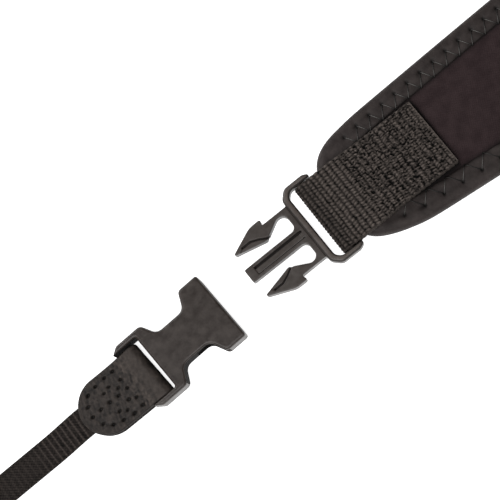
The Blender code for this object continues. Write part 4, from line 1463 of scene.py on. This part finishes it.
def end_places(base, row):
    """Places of one end's frames: the end itself, both webbings, both buckle halves, the tab and the eye."""
    x, y, heading = (float(v) for v in centreline(np.array(NOSE_OVERHANG)))
    yaw = heading + END_SKEW
    mirror = base @ Matrix.Scale(row["side"], 4, (1, 0, 0))
    end = mirror @ turned(x + PAD_SIDE_SHIFT * math.sin(yaw), y - PAD_SIDE_SHIFT * math.cos(yaw), 0, yaw)
    female = end @ turned(row["mouth_x"], row["mouth_y"], 0, row["female_yaw"])
    male_y = MALE_Y + SIDE_PRONG_LENGTH * math.sin(row["male_turn"])
    lug = female @ turned(TAB_END, row["lug_shift"], 0, row["lug_skew"])
    return {
        "end": end,
        "webbing": end @ turned(0, WEBBING_SIDE_SHIFT, 0, WEBBING_SKEW),
        "male": end @ turned(MALE_X, male_y, row["male_z"], MALE_YAW + row["male_turn"]),
        "body": female @ turned(0, 0, BODY_HALF_HEIGHT, 0),
        "tab": female @ turned(FEMALE_BAR_X, row["tab_shift"], 0, row["tab_turn"]),
        "lug": lug,
        "eye": lug @ turned(-LUG_LENGTH, 0, 0, 0),
    }


def inflate(obj, pinned):
    """Blows the panel up with a short cloth simulation, no point moving further than SIM_MOST."""
    before = points_of(obj.data)
    group = obj.vertex_groups.new(name="sewn")
    group.add([int(i) for i in pinned], 1.0, "REPLACE")
    cloth = obj.modifiers.new("Fabric", "CLOTH")
    cloth.settings.quality = 5
    cloth.settings.mass = 0.2
    cloth.settings.use_pressure = True
    cloth.settings.uniform_pressure_force = SIM_PRESSURE
    cloth.settings.vertex_group_mass = "sewn"
    cloth.settings.effector_weights.gravity = 0.0
    cloth.point_cache.frame_start = 1
    cloth.point_cache.frame_end = SIM_FRAMES
    for frame in range(1, SIM_FRAMES + 1):
        bpy.context.scene.frame_set(frame)
    graph = bpy.context.evaluated_depsgraph_get()
    after = points_of(obj.evaluated_get(graph).to_mesh())
    obj.evaluated_get(graph).to_mesh_clear()
    obj.modifiers.remove(cloth)
    obj.vertex_groups.remove(group)
    bpy.context.scene.frame_set(1)
    move = after - before
    length = np.linalg.norm(move, axis=1)
    move *= np.minimum(1, SIM_MOST / np.maximum(length, 1e-9))[:, None]
    return before, move


def dress_pad(base, finishes):
    panel = put("pad_panel", pad_panel(), base, finishes["panel"], "pad_core")
    settle_panel(panel)
    put("pad_edge_binding", pad_binding(), base, finishes["binding"], "pad_binding")
    put("pad_edge_stitches", binding_stitches(), base, finishes["pad_thread"])


def settle_panel(panel):
    """Simulates the panel's cover, then keeps it on the floor and clear of the sewn webbing."""
    columns = 2 * PANEL_COLUMNS - 2
    rows = len(panel.data.vertices) // columns
    row, ring = np.divmod(np.arange(rows * columns), columns)
    at_side = (ring == 0) | (ring == PANEL_COLUMNS - 1)
    pinned = np.where(at_side | (row < 2) | (row >= rows - 2))[0]
    before, move = inflate(panel, pinned)
    after = before + move
    after[:, 2] = np.maximum(after[:, 2], 0.0)
    near_end = np.abs(before[:, 0]) > PANEL_FLAT_FROM
    after[near_end, 2] = np.minimum(after[near_end, 2], PAD_THICKNESS + PANEL_FLAT_RISE)
    panel.data.vertices.foreach_set("co", after.ravel())
    panel.data.update()
    smooth = panel.modifiers.new("Subdivision", "SUBSURF")
    smooth.levels = smooth.render_levels = 1


SHARP_ANGLE = math.radians(50)


def dress_end(row, places, shared, finishes):
    name = row["name"]
    rows = (
        # piece, mesh, place, finish, slot
        ("webbing_loop", webbing_loop(row["male_z"]), "webbing", "webbing", "ribbed_webbing"),
        ("male_buckle", shared["male"], "male", "male_plastic_lit", "moulded_plastic"),
        ("female_buckle", shared["female"], "body", "plastic", "moulded_plastic"),
        ("leather_tab", leather_tab(row["fold_skew"]), "tab", "leather", "tab_leather"),
        ("lug_webbing", shared["lug"], "lug", "lug", "lug_webbing_fabric"),
        ("webbing_keeper", shared["keeper"], "eye", "plastic", "moulded_plastic"),
    )
    for piece, mesh, place, finish, slot in rows:
        node = f"{piece}_{name}"
        put(f"{node}_dressed", mesh, places[place], finishes[finish], node, SHARP_ANGLE)


# ---------------------------------------------------------------- stage


def add_area_light(name, size, power, location, target):
    light = bpy.data.lights.new(name, "AREA")
    light.shape = "DISK"
    light.size = size
    light.energy = power
    obj = added(name, light)
    obj.location = location
    obj.rotation_euler = (Vector(target) - Vector(location)).to_track_quat("-Z", "Y").to_euler()


# Light of the floor itself, as of a light table, which leaves no shadow round the strap
FLOOR_GLOW = 0.85
FLOOR_REACH = 12.0
FLOOR_Z = -0.0001
SKY_GLOW = 0.16
LIGHTS = (
    # name, diameter, power, place in the shown end's frame
    ("overhead_light", 0.90, 7.0, (-0.40, -0.28, 0.85)),
    ("key_light", 0.45, 3.0, (-0.33, 0.62, 0.55)),
)


def add_stage(end_place):
    """A pale glowing floor, dim surroundings and two soft lights."""
    corners = [(x * FLOOR_REACH, y * FLOOR_REACH, 0) for x, y in ((-1, -1), (1, -1), (1, 1), (-1, 1))]
    mesh = built("floor", corners, [(0, 1, 2, 3)])
    floor = added("floor", mesh)
    floor.location.z = FLOOR_Z
    paper = Shader("paper")
    paper.look(Base_Color=(0.93, 0.93, 0.93, 1.0), Roughness=0.9, Specular_IOR_Level=0.0)
    paper.look(Emission_Color=(1.0, 1.0, 1.0, 1.0), Emission_Strength=FLOOR_GLOW)
    mesh.materials.append(paper.material)
    world = bpy.data.worlds.new("studio")
    world.use_nodes = True
    sky = world.node_tree.nodes["Background"].inputs
    sky["Color"].default_value = (1.0, 1.0, 1.0, 1.0)
    sky["Strength"].default_value = SKY_GLOW
    bpy.context.scene.world = world
    target = end_place @ Vector(CAMERA_TARGET)
    for name, size, power, place in LIGHTS:
        add_area_light(name, size, power, end_place @ Vector(place), target)


def add_camera(end_place):
    """Looks down across the strap, rolled so that the strap rises to the right."""
    turn = end_place.to_3x3()
    x, y, z = turn.col[0], turn.col[1], Vector((0, 0, 1))
    target = end_place @ Vector(CAMERA_TARGET)
    back = -math.cos(CAMERA_ELEVATION) * y + math.sin(CAMERA_ELEVATION) * z
    level_up = math.sin(CAMERA_ELEVATION) * y + math.cos(CAMERA_ELEVATION) * z
    right = math.cos(CAMERA_ROLL) * x - math.sin(CAMERA_ROLL) * level_up
    up = math.sin(CAMERA_ROLL) * x + math.cos(CAMERA_ROLL) * level_up
    camera = bpy.data.cameras.new("camera")
    camera.lens = CAMERA_LENS
    camera.sensor_width = CAMERA_SENSOR
    camera.clip_start = 0.01
    obj = added("camera", camera)
    place = Matrix((right, up, back)).transposed().to_4x4()
    place.translation = target + back * CAMERA_DISTANCE
    obj.matrix_world = place
    bpy.context.scene.camera = obj
    bpy.context.scene.view_settings.view_transform = "Standard"


def main():
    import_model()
    base = Matrix.Translation(strap_shift())
    finishes = {
        "plastic": plastic_finish("moulded_plastic", PLASTIC_TONES),
        # Painted light: the same plastic, made lighter for the male half
        "male_plastic_lit": plastic_finish("moulded_plastic_male_lit", MALE_PLASTIC_LIT_TONES),
        "leather": leather_finish(
            "tab_leather", LEATHER_TONES, cloud_scale=700.0, cell_scale=1500.0,
            bumps=((0.00025, 0.3), (0.00009, 0.6)), roughness=0.55, specular=0.22,
        ),
        "webbing": webbing_finish("ribbed_webbing", WEBBING_TONES, 2600.0),
        "lug": webbing_finish("lug_webbing_fabric", LUG_TONES, 3600.0),
        "panel": panel_finish(),
        "binding": leather_finish(
            "binding_leatherette", BINDING_TONES, cloud_scale=350.0, cell_scale=1300.0,
            bumps=((0.0005, 0.3), (0.00007, 0.4)), roughness=0.58, specular=0.16,
        ),
        "pad_thread": thread_finish(),
    }
    shared = {
        "male": male_buckle(),
        "female": female_buckle(),
        "lug": lug_webbing(),
        "keeper": webbing_keeper(),
    }
    dress_pad(base, finishes)
    ends = [dict(zip(END_COLUMNS, row)) for row in ENDS]
    places = {row["name"]: end_places(base, row) for row in ends}
    for row in ends:
        dress_end(row, places[row["name"]], shared, finishes)
    add_stage(places["shown"]["end"])
    add_camera(places["shown"]["end"])
    bpy.context.view_layer.update()


main()
